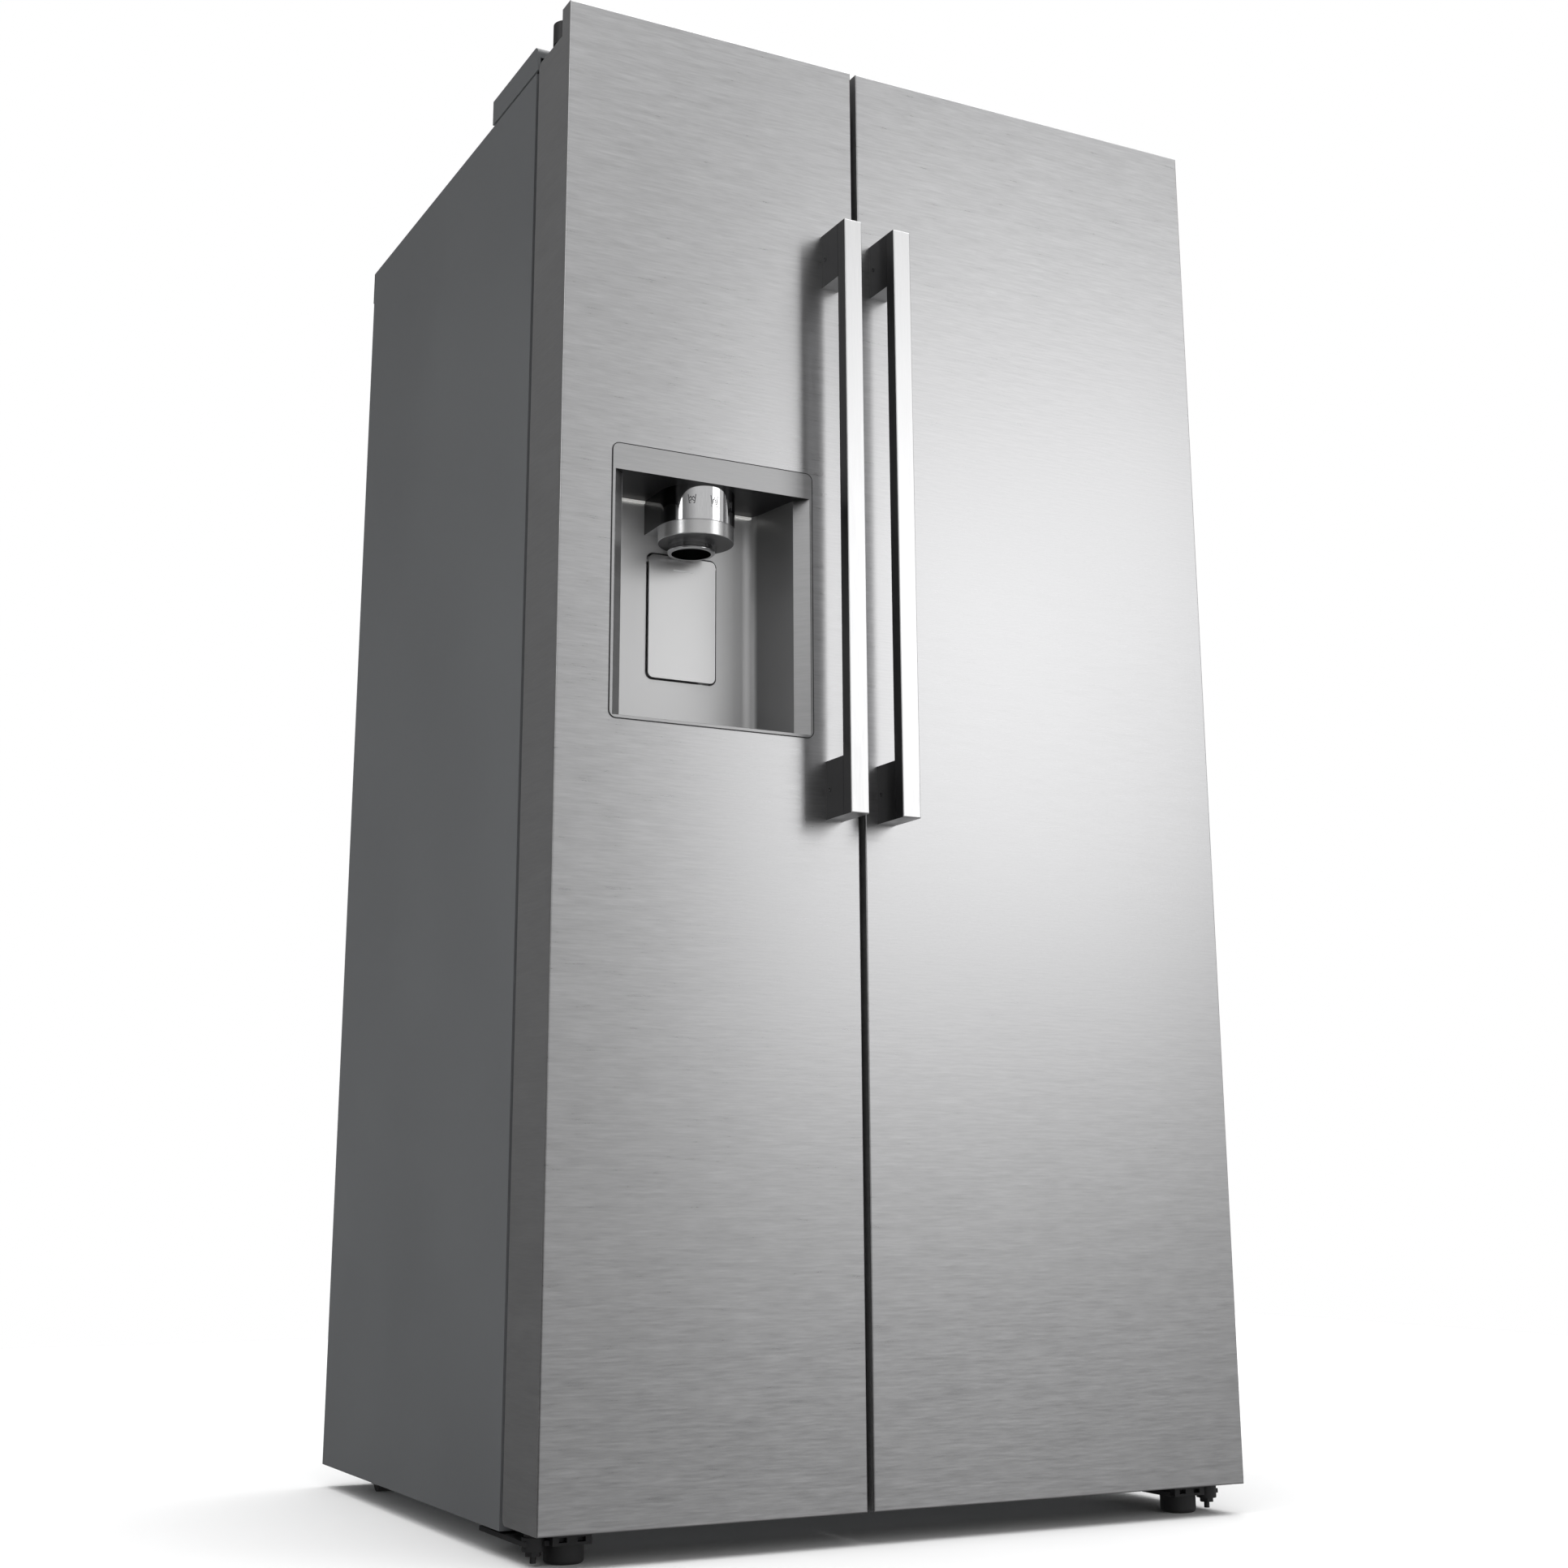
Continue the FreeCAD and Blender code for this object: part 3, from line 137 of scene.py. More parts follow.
class Shader:
    """A node material with one Principled shader, built up step by step."""

    def __init__(self, name):
        self.material = bpy.data.materials.new(name)
        self.material.use_nodes = True
        self.tree = self.material.node_tree
        self.bsdf = self.tree.nodes["Principled BSDF"]
        self.place = self.add("ShaderNodeTexCoord").outputs["Object"]

    def add(self, kind):
        """A new node of a kind."""
        return self.tree.nodes.new(kind)

    def link(self, source, target):
        """A wire between two sockets."""
        self.tree.links.new(source, target)

    def stretched(self, scale):
        """Object coordinates multiplied by a vector, in features per metre."""
        mapping = self.add("ShaderNodeMapping")
        mapping.inputs["Scale"].default_value = scale
        self.link(self.place, mapping.inputs["Vector"])
        return mapping.outputs["Vector"]

    def noise(self, scale, detail=3.0, roughness=0.55):
        """Noise with features per metre along x, y and z."""
        node = self.add("ShaderNodeTexNoise")
        node.inputs["Scale"].default_value = 1.0
        node.inputs["Detail"].default_value = detail
        node.inputs["Roughness"].default_value = roughness
        self.link(self.stretched(scale), node.inputs["Vector"])
        return node.outputs["Fac"]

    def span(self, source, low, high, start=0.3, end=0.7):
        """A factor mapped from start..end to low..high."""
        node = self.add("ShaderNodeMapRange")
        node.inputs["From Min"].default_value = start
        node.inputs["From Max"].default_value = end
        node.inputs["To Min"].default_value = low
        node.inputs["To Max"].default_value = high
        self.link(source, node.inputs["Value"])
        return node.outputs["Result"]

    def blend(self, factor, first, second):
        """A colour between two, by a factor."""
        node = self.add("ShaderNodeMix")
        node.data_type = "RGBA"
        self.link(factor, node.inputs["Factor"])
        for socket, value in ((node.inputs[6], first), (node.inputs[7], second)):
            if isinstance(value, tuple):
                socket.default_value = (*value, 1.0)
            else:
                self.link(value, socket)
        return node.outputs[2]

    def total(self, first, second, weight):
        """first plus weight times second."""
        node = self.add("ShaderNodeMath")
        node.operation = "MULTIPLY_ADD"
        self.link(second, node.inputs[0])
        node.inputs[1].default_value = weight
        self.link(first, node.inputs[2])
        return node.outputs[0]

    def bump(self, height, distance, strength=1.0):
        """Surface relief from a height, in metres."""
        node = self.add("ShaderNodeBump")
        node.inputs["Distance"].default_value = distance
        node.inputs["Strength"].default_value = strength
        self.link(height, node.inputs["Height"])
        self.link(node.outputs["Normal"], self.bsdf.inputs["Normal"])

    def set(self, **values):
        """Plain values on the shader's own sockets."""
        for name, value in values.items():
            self.bsdf.inputs[name.replace("_", " ")].default_value = value

    def facing(self, axis, start, end):
        """1 on the faces of the object that look along an axis, 0 on the others."""
        parts = self.add("ShaderNodeSeparateXYZ")
        self.link(self.add("ShaderNodeTexCoord").outputs["Normal"], parts.inputs[0])
        return self.span(parts.outputs[axis], 0.0, 1.0, start, end)

    def paint_shade(self, mask, body, dark, metal):
        """Painted shade where the mask is 1: a dark colour in place of the body's metal."""
        self.colour(self.blend(mask, body, dark))
        self.link(self.span(mask, *metal, 0.0, 1.0), self.bsdf.inputs["Metallic"])

    def colour(self, source):
        """The base colour from a socket."""
        self.link(source, self.bsdf.inputs["Base Color"])

    def roughness(self, source):
        """The roughness from a socket."""
        self.link(source, self.bsdf.inputs["Roughness"])


CHROME_TINT = (0.86, 0.86, 0.87)
# Painted shade: near black for faces that look down, under the dispenser's lintel and on the recess
# ceiling.
CEILING_SHADE_PAINT = (0.008, 0.008, 0.009)
# Painted shade for the recess's right wall.
WALL_SHADE_PAINT = (0.26, 0.26, 0.263)
# Painted shade for the handles' sides, for the dark surroundings they reflect.
SIDE_SHADE_PAINT = (0.10, 0.10, 0.102)
# Painted shade for the nozzle ring's underside.
UNDERSIDE_SHADE_PAINT = (0.035, 0.035, 0.036)
# Painted shade for the nozzle housing's left and right flanks.
FLANK_SHADE_PAINT = (0.05, 0.05, 0.051)
FAR_FLANK_SHADE_PAINT = (0.15, 0.15, 0.153)
ALONG = (0.7, 0.9)            # how squarely a face with painted shade looks along an axis
AGAINST = (-0.7, -0.9)        # or against it


def brushed(name, dark, light, rough, grain=(34.0, 34.0, 460.0), relief=0.000012, aniso=0.5,
            turn=0.0, metallic=1.0, shade_underside=False, shade_sides=False):
    """Steel with fine short streaks, long along the first axes of its grain; faces that look down and
    sideways can get painted shade.
    """
    s = Shader(name)
    fine = s.noise(grain, detail=4.0, roughness=0.65)
    broad = s.noise(tuple(value * 0.35 for value in grain), detail=3.0)
    cloud = s.noise((1.6, 1.6, 1.1), detail=2.0)
    streak = s.total(fine, broad, 0.5)
    body = s.blend(s.span(streak, 0.0, 1.0, 0.5, 1.0), dark, light)
    s.colour(body)
    s.roughness(s.total(s.span(streak, rough - 0.04, rough + 0.04, 0.5, 1.0), cloud, 0.04))
    s.bump(streak, relief)
    s.set(Metallic=metallic, Anisotropic=aniso, Anisotropic_Rotation=turn)
    # Painted shade: faces that look down turn near black and lose their metal.
    if shade_underside:
        s.paint_shade(s.facing("Z", *AGAINST), body, CEILING_SHADE_PAINT, (1.0, 0.0))
    # Painted shade: faces that look left or right turn dark grey, standing in for the dark surroundings
    # they reflect.
    if shade_sides:
        left = s.facing("X", *AGAINST)
        right = s.facing("X", *ALONG)
        s.paint_shade(s.total(left, right, 1.0), body, SIDE_SHADE_PAINT, (1.0, 1.0))
    return s.material


def satin(name, dark, light, rough, metallic=0.9, under_shade=None, wall_shade=None):
    """Satin plating or metallic plastic; faces that look down or left can get painted shade."""
    s = Shader(name)
    cloud = s.noise((7.0, 7.0, 5.0), detail=2.0)
    marks = s.noise((900.0, 900.0, 260.0), detail=2.0)
    body = s.blend(s.span(cloud, 0.0, 1.0), dark, light)
    # Painted shade on faces that look left, such as the recess's right wall.
    if wall_shade:
        body = s.blend(s.facing("X", -0.8, -0.96), body, wall_shade)
    s.colour(body)
    s.roughness(s.total(s.span(cloud, rough - 0.02, rough + 0.03), marks, 0.02))
    s.bump(marks, 0.000003)
    s.set(Metallic=metallic)
    # Painted shade: faces that look down turn dark and lose their metal.
    if under_shade:
        s.paint_shade(s.facing("Z", *AGAINST), body, under_shade, (metallic, 0.0))
    return s.material


def painted(name, dark, light, rough):
    """Coated sheet: slight orange peel, cloudy gloss and faint rub marks."""
    s = Shader(name)
    fine = s.noise((420.0, 420.0, 420.0), detail=2.0)
    cloud = s.noise((3.0, 3.0, 3.0), detail=4.0)
    s.colour(s.blend(s.span(cloud, 0.0, 1.0), dark, light))
    s.roughness(s.total(s.span(cloud, rough - 0.04, rough + 0.05), fine, 0.04))
    s.bump(fine, 0.00004)
    return s.material


def plastic(name, dark, light, rough, relief=0.00002, coat=0.0):
    """Moulded plastic with a fine grain and uneven gloss."""
    s = Shader(name)
    fine = s.noise((900.0, 900.0, 900.0), detail=2.0)
    cloud = s.noise((9.0, 9.0, 9.0), detail=3.0)
    s.colour(s.blend(s.span(cloud, 0.0, 1.0), dark, light))
    s.roughness(s.span(s.total(fine, cloud, 0.5), rough - 0.05, rough + 0.07, 0.45, 1.0))
    s.bump(fine, relief)
    s.set(Coat_Weight=coat, Coat_Roughness=0.08)
    return s.material


def chrome(name, shade_flanks=False):
    """Plated plastic: bright, with faint polishing marks and ripples; its flanks can get painted shade."""
    s = Shader(name)
    ripple = s.noise((35.0, 35.0, 35.0), detail=1.0)
    marks = s.noise((600.0, 600.0, 90.0), detail=3.0)
    darker = tuple(value * 0.93 for value in CHROME_TINT)
    body = s.blend(s.span(marks, 0.0, 1.0), darker, CHROME_TINT)
    # Painted shade on the flanks: near black where they look left, dark grey where they look right.
    if shade_flanks:
        body = s.blend(s.facing("X", -0.78, -0.84), body, FLANK_SHADE_PAINT)
        body = s.blend(s.facing("X", 0.6, 0.72), body, FAR_FLANK_SHADE_PAINT)
    s.colour(body)
    s.roughness(s.span(marks, 0.06, 0.11))
    s.bump(ripple, 0.00005, 0.4)
    s.set(Metallic=1.0)
    return s.material


def clear_plastic(name, tint):
    """Clear moulded plastic, slightly cloudy."""
    s = Shader(name)
    cloud = s.noise((14.0, 14.0, 14.0), detail=3.0)
    s.colour(s.blend(s.span(cloud, 0.0, 1.0), tuple(value * 0.94 for value in tint), tint))
    s.roughness(s.span(cloud, 0.12, 0.22))
    s.bump(s.noise((160.0, 160.0, 160.0), detail=2.0), 0.00003)
    s.set(Transmission_Weight=0.75, IOR=1.3)
    return s.material


def shelf_glass(name):
    """Tempered glass with a green cast and faint smears."""
    s = Shader(name)
    smear = s.noise((6.0, 22.0, 6.0), detail=4.0)
    s.colour(s.blend(s.span(smear, 0.0, 1.0), (0.78, 0.9, 0.87), (0.86, 0.95, 0.93)))
    s.roughness(s.span(smear, 0.01, 0.07))
    s.set(Transmission_Weight=0.9, IOR=1.2)
    return s.material


def zinc(name):
    """Zinc coated sheet with its crystal pattern."""
    s = Shader(name)
    crystals = s.add("ShaderNodeTexVoronoi")
    crystals.inputs["Scale"].default_value = 1.0
    s.link(s.stretched((90.0, 90.0, 90.0)), crystals.inputs["Vector"])
    grey = s.add("ShaderNodeRGBToBW")
    s.link(crystals.outputs["Color"], grey.inputs["Color"])
    shade = grey.outputs["Val"]
    s.colour(s.blend(s.span(shade, 0.0, 1.0, 0.1, 0.9), (0.36, 0.37, 0.385), (0.5, 0.51, 0.52)))
    s.roughness(s.span(shade, 0.32, 0.5, 0.1, 0.9))
    s.bump(s.noise((300.0, 300.0, 300.0), detail=2.0), 0.00002)
    s.set(Metallic=0.85)
    return s.material


def foam(name):
    """Closed cell insulation."""
    s = Shader(name)
    cells = s.add("ShaderNodeTexVoronoi")
    cells.inputs["Scale"].default_value = 1.0
    s.link(s.stretched((700.0, 700.0, 700.0)), cells.inputs["Vector"])
    cloud = s.noise((8.0, 8.0, 8.0), detail=4.0)
    s.colour(s.blend(s.span(cloud, 0.0, 1.0), (0.72, 0.62, 0.36), (0.84, 0.76, 0.5)))
    s.roughness(s.span(cloud, 0.8, 0.95))
    s.bump(cells.outputs["Distance"], 0.0004)
    return s.material


def lamp_lens(name):
    """Frosted lamp cover that glows a little."""
    s = Shader(name)
    ribs = s.noise((220.0, 8.0, 8.0), detail=1.0)
    s.colour(s.blend(s.span(ribs, 0.0, 1.0), (0.86, 0.87, 0.86), (0.95, 0.95, 0.93)))
    s.roughness(s.span(ribs, 0.25, 0.4))
    s.bump(ribs, 0.0002)
    s.set(Emission_Color=(1.0, 0.98, 0.94, 1.0), Emission_Strength=0.22)
    return s.material


LOOKS = {
    "stainless": brushed("stainless", (0.51, 0.51, 0.516), (0.63, 0.63, 0.636), 0.29,
                         grain=(30.0, 30.0, 390.0), aniso=0.7, turn=0.25),
    # Painted shade on the handles' sides, which reflect dark surroundings.
    "handle_satin": brushed("handle_satin", (0.77, 0.77, 0.775), (0.83, 0.83, 0.835), 0.31,
                            grain=(700.0, 700.0, 30.0), relief=0.000006, aniso=0.7, turn=0.25,
                            shade_sides=True),
    # Painted shade: the door's stainless sides are darkened for the dark surroundings they reflect.
    "door_grey": brushed("door_side_steel_painted_shade", (0.20, 0.20, 0.203), (0.25, 0.25, 0.253), 0.42,
                         metallic=0.6),
    "case_grey": painted("case_paint", (0.113, 0.117, 0.122), (0.129, 0.134, 0.139), 0.42),
    "galvanised": zinc("zinc_sheet"),
    "black_metal": painted("black_metal", (0.012, 0.012, 0.013), (0.022, 0.022, 0.023), 0.45),
    "black_plastic": plastic("black_plastic", (0.012, 0.012, 0.013), (0.02, 0.02, 0.021), 0.5),
    "foam": foam("foam"),
    "liner_white": plastic("liner_white", (0.74, 0.75, 0.755), (0.8, 0.805, 0.81), 0.24,
                           relief=0.00001, coat=0.15),
    "clear_plastic": clear_plastic("clear_plastic", (0.86, 0.91, 0.94)),
    "shelf_glass": shelf_glass("shelf_glass"),
    "seal": plastic("seal_rubber", (0.028, 0.028, 0.03), (0.04, 0.04, 0.042), 0.65),
    "chrome_trim": chrome("chrome_trim"),
    "satin_silver": satin("satin_silver", (0.62, 0.62, 0.622), (0.66, 0.66, 0.662), 0.30),
    # Painted shade in the recess: a dim right wall and a near black ceiling.
    "dispenser_silver": satin("dispenser_silver", (0.65, 0.65, 0.653), (0.69, 0.69, 0.693), 0.38,
                              metallic=0.7, under_shade=CEILING_SHADE_PAINT, wall_shade=WALL_SHADE_PAINT),
    "aluminium_fin": brushed("aluminium_fin", (0.68, 0.68, 0.685), (0.8, 0.8, 0.805), 0.35),
    "lamp_lens": lamp_lens("lamp_lens"),
    "grey_plastic": plastic("grey_plastic", (0.3, 0.31, 0.32), (0.36, 0.37, 0.38), 0.5),
}
ICON_INK = plastic("icon_ink", (0.05, 0.05, 0.053), (0.08, 0.08, 0.083), 0.5)


def dress(node, material):
    """Give a CAD node one material."""
    slots = nodes[node].data.materials
    slots.clear()
    slots.append(material)


for part in frame["record"]["subparts"]:
    dress(part["node"], LOOKS[part["material_slot"]])
# Painted shade: the lintel's underside is near black.
dress("dispenser_frame", brushed("lintel_steel", (0.40, 0.40, 0.404), (0.47, 0.47, 0.474), 0.34,
                                 shade_underside=True))
# Painted shade on the nozzle housing's flanks.
dress("nozzle_housing", chrome("housing_chrome", shade_flanks=True))
# Painted shade on the nozzle ring's underside.
dress("nozzle_ring", satin("ring_silver", (0.66, 0.66, 0.662), (0.70, 0.70, 0.702), 0.24,
                           under_shade=UNDERSIDE_SHADE_PAINT))


# --------------------------------------------------------------------- meshes


def keep(name, bm, look, body, bevel=0.0, smooth=True, material=None):
    """Turn a bmesh into a piece that rides on a body and wears a look, or a material of its own."""
    mesh = bpy.data.meshes.new(name)
    bm.normal_update()
    bm.to_mesh(mesh)
    bm.free()
    piece = bpy.data.objects.new(name, mesh)
    bpy.context.scene.collection.objects.link(piece)
    mesh.materials.append(material or LOOKS[look])
    if smooth:
        for face in mesh.polygons:
            face.use_smooth = True
    if bevel:
        cut = piece.modifiers.new("edges", "BEVEL")
        cut.width = bevel * MM
        cut.segments = 3
        cut.limit_method = "ANGLE"
        cut.harden_normals = True
    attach(piece, body)


def add_block(bm, low, high):
    """Add a box between two corners."""
    size = [high[axis] - low[axis] for axis in range(3)]
    centre = [(high[axis] + low[axis]) / 2 for axis in range(3)]
    place = Matrix.Translation(centre) @ Matrix.Diagonal((*size, 1.0))
    bmesh.ops.create_cube(bm, size=1.0, matrix=place)


def add_ring(bm, outline, axis, level):
    """Add the corners of an outline in the two other axes, at a place along an axis."""
    others = [number for number in range(3) if number != axis]
    ring = []
    for first, second in outline:
        corner = [0.0, 0.0, 0.0]
        corner[axis] = level
        corner[others[0]] = first
        corner[others[1]] = second
        ring.append(bm.verts.new(corner))
    return ring


def join_rings(bm, lower, upper):
    """Faces between two rings that have the same number of corners."""
    faces = []
    for number in range(len(lower)):
        after = (number + 1) % len(lower)
        faces.append(bm.faces.new((lower[number], lower[after], upper[after], upper[number])))
    return faces


def close_rings(bm, rings):
    """Turn a row of rings into a closed shape."""
    faces = [bm.faces.new(rings[0]), bm.faces.new(rings[-1])]
    for lower, upper in zip(rings, rings[1:]):
        faces += join_rings(bm, lower, upper)
    bmesh.ops.recalc_face_normals(bm, faces=faces)


def add_prism(bm, outline, axis, start, end):
    """Add a prism: an outline in the two other axes, between two places along an axis."""
    close_rings(bm, [add_ring(bm, outline, axis, level) for level in (start, end)])


def circle(centre, radius, count):
    """Corners of a regular outline."""
    corners = []
    for number in range(count):
        angle = math.tau * number / count
        corners.append((centre[0] + radius * math.cos(angle), centre[1] + radius * math.sin(angle)))
    return corners


def rounded(low, high, radius, steps=6):
    """Corners of a rounded rectangle between two corners."""
    corners = []
    middles = ((high[0] - radius, high[1] - radius), (low[0] + radius, high[1] - radius),
               (low[0] + radius, low[1] + radius), (high[0] - radius, low[1] + radius))
    for quarter, middle in enumerate(middles):
        for step in range(steps + 1):
            angle = (quarter + step / steps) * math.pi / 2
            corners.append((middle[0] + radius * math.cos(angle), middle[1] + radius * math.sin(angle)))
    return corners


def add_screw(bm, place, axis, out, screw):
    """Add a low round screw head with a socket, standing on a surface along an axis."""
    radius, height = (value * MM for value in screw)
    centre = [place[number] for number in range(3) if number != axis]
    rings = []
    for reach, level in HEAD_PROFILE:
        outline = circle(centre, radius * reach, HEAD_CORNERS)
        rings.append(add_ring(bm, outline, axis, place[axis] + out * height * level))
    close_rings(bm, rings)


# -------------------------------------------------------------------- details


def light_strip():
    """Lens of the dispenser lamp, along the back of the recess on both sides of the nozzle."""
    low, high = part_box("nozzle_housing")
    left = low.x - LAMP_REACH * MM
    right = high.x + LAMP_REACH * MM
    front = high.y - LAMP_DEPTH * MM
    back = high.y - DIP * MM
    slant = LAMP_SLANT * MM
    bottom, top = (high.z - drop * MM for drop in LAMP_DROPS)
    halves = ((left, low.x - LAMP_GAP * MM, slant, 0.0), (high.x + LAMP_GAP * MM, right, 0.0, slant))
    for number, (start, end, slant_low, slant_high) in enumerate(halves):
        bm = bmesh.new()
        outline = [(start, front), (end, front), (end - slant_high, back), (start + slant_low, back)]
        add_prism(bm, outline, 2, bottom, top)
        keep("dispenser_lamp_%d" % number, bm, "lamp_lens", "freezer_door", LAMP_EDGE)


def frame_outline():
    """Fine dark joint round the dispenser's frame, standing just clear of the door."""
    low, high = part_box("dispenser_frame")
    front = low.y - OUTLINE_PROUD * MM
    back = low.y + OUTLINE_SUNK * MM
    bm = bmesh.new()
    rings = []
    for grow, y in ((0.0, front), (OUTLINE_WIDTH, front), (OUTLINE_WIDTH, back), (0.0, back)):
        reach = grow * MM
        outline = rounded((low.x - reach, low.z - reach), (high.x + reach, high.z + reach),
                          (FRAME_CORNER + grow) * MM)
        rings.append(add_ring(bm, outline, 1, y))
    faces = []
    for number, ring in enumerate(rings):
        faces += join_rings(bm, ring, rings[(number + 1) % len(rings)])
    bmesh.ops.recalc_face_normals(bm, faces=faces)
    keep("dispenser_outline", bm, "black_plastic", "freezer_door", smooth=False)


def icon_strokes():
    """Lines of the three touch symbols, from the centre of each, before ICON_SIZE enlarges them."""
    glass = [((-3.0, 3.4), (-2.1, -3.4)), ((-2.1, -3.4), (2.1, -3.4)), ((2.1, -3.4), (3.0, 3.4))]
    crushed = [((-2.2, 0.6), (-1.1, 1.9)), ((-1.1, 1.9), (0.0, 0.6)), ((0.0, 0.6), (1.1, 1.9)),
               ((1.1, 1.9), (2.2, 0.6)), ((-1.6, -1.6), (0.0, -0.2)), ((0.0, -0.2), (1.6, -1.6))]
    cube = [((-1.2, -2.2), (-1.2, 0.2)), ((-1.2, 0.2), (1.2, 0.2)), ((1.2, 0.2), (1.2, -2.2)),
            ((-0.4, 0.9), (0.5, 2.2)), ((-2.6, -5.0), (2.6, -5.0))]
    drop = [((0.0, 2.2), (-1.2, -0.4)), ((-1.2, -0.4), (-0.7, -1.7)), ((-0.7, -1.7), (0.7, -1.7)),
            ((0.7, -1.7), (1.2, -0.4)), ((1.2, -0.4), (0.0, 2.2))]
    return [glass + crushed, glass + cube, glass + drop]


def touch_icons():
    """Printed symbols wrapped on the round front of the nozzle housing."""
    low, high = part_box("nozzle_housing")
    radius = (high.x - low.x) / 2
    centre = ((low.x + high.x) / 2, low.y + radius)
    middle = low.z + ICON_RISE * MM
    half = ICON_LINE * MM / 2
    bm = bmesh.new()

    def on_housing(corner, lift, turn):
        angle = math.radians(turn) + corner.x / radius
        reach = radius + lift * MM
        return Vector((centre[0] + reach * math.sin(angle), centre[1] - reach * math.cos(angle),
                       middle + corner.y))

    for turn, strokes in zip(ICON_TURNS, icon_strokes()):
        for start, end in strokes:
            a = Vector(start) * ICON_SIZE * MM
            b = Vector(end) * ICON_SIZE * MM
            along = (b - a).normalized() * half
            side = Vector((-along.y, along.x))
            corners = (a - along + side, a - along - side, b + along - side, b + along + side)
            close_rings(bm, [[bm.verts.new(on_housing(corner, lift, turn)) for corner in corners]
                             for lift in (-ICON_SINK, ICON_LIFT)])
    keep("touch_icons", bm, "grey_plastic", "freezer_door", smooth=False, material=ICON_INK)


def paddle_mark():
    """Raised line near the top of the paddle."""
    low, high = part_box("dispenser_paddle")
    bm = bmesh.new()
    middle = (low.x + high.x) / 2
    level = high.z - MARK_DROP * MM
    half_width = MARK_HALF_WIDTH * MM
    half_height = MARK_HALF_HEIGHT * MM
    add_block(bm, (middle - half_width, low.y - MARK_PROUD * MM, level - half_height),
              (middle + half_width, low.y + MARK_SINK * MM, level + half_height))
    keep("paddle_mark", bm, "liner_white", "paddle", MARK_EDGE)


def drip_grille():
    """Slotted plate on the floor of the recess."""
    recess_low, recess_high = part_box("dispenser_recess")
    _, housing_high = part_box("nozzle_housing")
    floor = recess_low.z + RECESS_FLOOR * MM
    top = floor + GRILLE_THICKNESS * MM
    left = recess_low.x + GRILLE_SIDE * MM
    right = recess_high.x - GRILLE_SIDE * MM
    front = recess_low.y + GRILLE_FRONT * MM
    back = housing_high.y - GRILLE_BACK * MM
    rim = GRILLE_RIM * MM
    half_bar = GRILLE_HALF_BAR * MM
    bm = bmesh.new()
    add_block(bm, (left, front, floor), (right, front + rim, top))
    add_block(bm, (left, back - rim, floor), (right, back, top))
    step = (right - left) / GRILLE_GAPS
    for number in range(GRILLE_GAPS + 1):
        x = left + number * step
        add_block(bm, (x - half_bar, front + rim - DIP * MM, floor),
                  (x + half_bar, back - rim + DIP * MM, top))
    keep("drip_grille", bm, "grey_plastic", "freezer_door", TRIM_EDGE)


HANDLES = (("freezer_handle", "freezer_door"), ("fridge_handle", "fridge_door"))


def handle_screws():
    """Set screws in the left side of each handle's posts, which hold it to its studs."""
    for node, body in HANDLES:
        low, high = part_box(node)
        bm = bmesh.new()
        for level in (low.z + SET_SCREW_ENDS[0] * MM, high.z - SET_SCREW_ENDS[1] * MM):
            add_screw(bm, (low.x, high.y - SET_SCREW_DEPTH * MM, level), 0, -1, SET_SCREW)
        keep(node + "_screws", bm, "black_metal", body)


def post_seams():
    """Fine dark joint between the bar and each post of a handle."""
    for node, body in HANDLES:
        low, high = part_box(node)
        bm = bmesh.new()
        seam = low.y + BAR_DEPTH * MM
        post = POST_HEIGHT * MM
        reach = SEAM_REACH * MM
        for start, end in ((low.z, low.z + post), (high.z - post, high.z)):
            for face in (low.x, high.x):
                add_block(bm, (face - reach, seam, start), (face + reach, seam + SEAM_WIDTH * MM, end))
        keep(node + "_seams", bm, "black_metal", body, smooth=False)


def shelf_trims():
    """Moulded edging along the front of each glass shelf."""
    for node in ("fridge_shelf_upper", "fridge_shelf_middle", "crisper_cover", "freezer_shelves"):
        low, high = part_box(node)
        rises = FREEZER_SHELF_RISES if node == "freezer_shelves" else (0.0,)
        for number, rise in enumerate(rises):
            level = low.z + rise * MM
            bm = bmesh.new()
            outline = [(low.y + y * MM, level + z * MM) for y, z in SHELF_TRIM]
            add_prism(bm, outline, 0, low.x + SHELF_TRIM_SIDE * MM, high.x - SHELF_TRIM_SIDE * MM)
            keep("%s_trim_%d" % (node, number), bm, "satin_silver", "cabinet", smooth=False)


def drawer_trims():
    """Satin strip along the top of each drawer's front."""
    lower, upper = DRAWER_TRIM_DROPS
    for node in ("upper_crisper", "lower_crisper", "freezer_drawer"):
        low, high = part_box(node)
        bm = bmesh.new()
        front = low.y + DRAWER_FRONT * MM
        add_block(bm, (low.x + SIDE_TRIM * MM, front - TRIM_PROUD * MM, high.z - lower * MM),
                  (high.x - SIDE_TRIM * MM, front + DIP * MM, high.z - upper * MM))
        keep(node + "_trim", bm, "satin_silver", node + "_body", TRIM_EDGE)


def bin_trims():
    """Satin strip along the top of each door bin's front."""
    lower, upper = BIN_TRIM_DROPS
    for node, body, count in (("freezer_door_bins", "freezer_door", 2),
                              ("fridge_door_bins", "fridge_door", 4)):
        low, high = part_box(node)
        rise = (high.z - low.z - BIN_HEIGHT * MM) / (count - 1)
        for number in range(count):
            top = low.z + number * rise + BIN_HEIGHT * MM
            bm = bmesh.new()
            add_block(bm, (low.x + SIDE_TRIM * MM, high.y - DIP * MM, top - lower * MM),
                      (high.x - SIDE_TRIM * MM, high.y + TRIM_PROUD * MM, top - upper * MM))
            keep("%s_trim_%d" % (node, number), bm, "satin_silver", body, TRIM_EDGE)


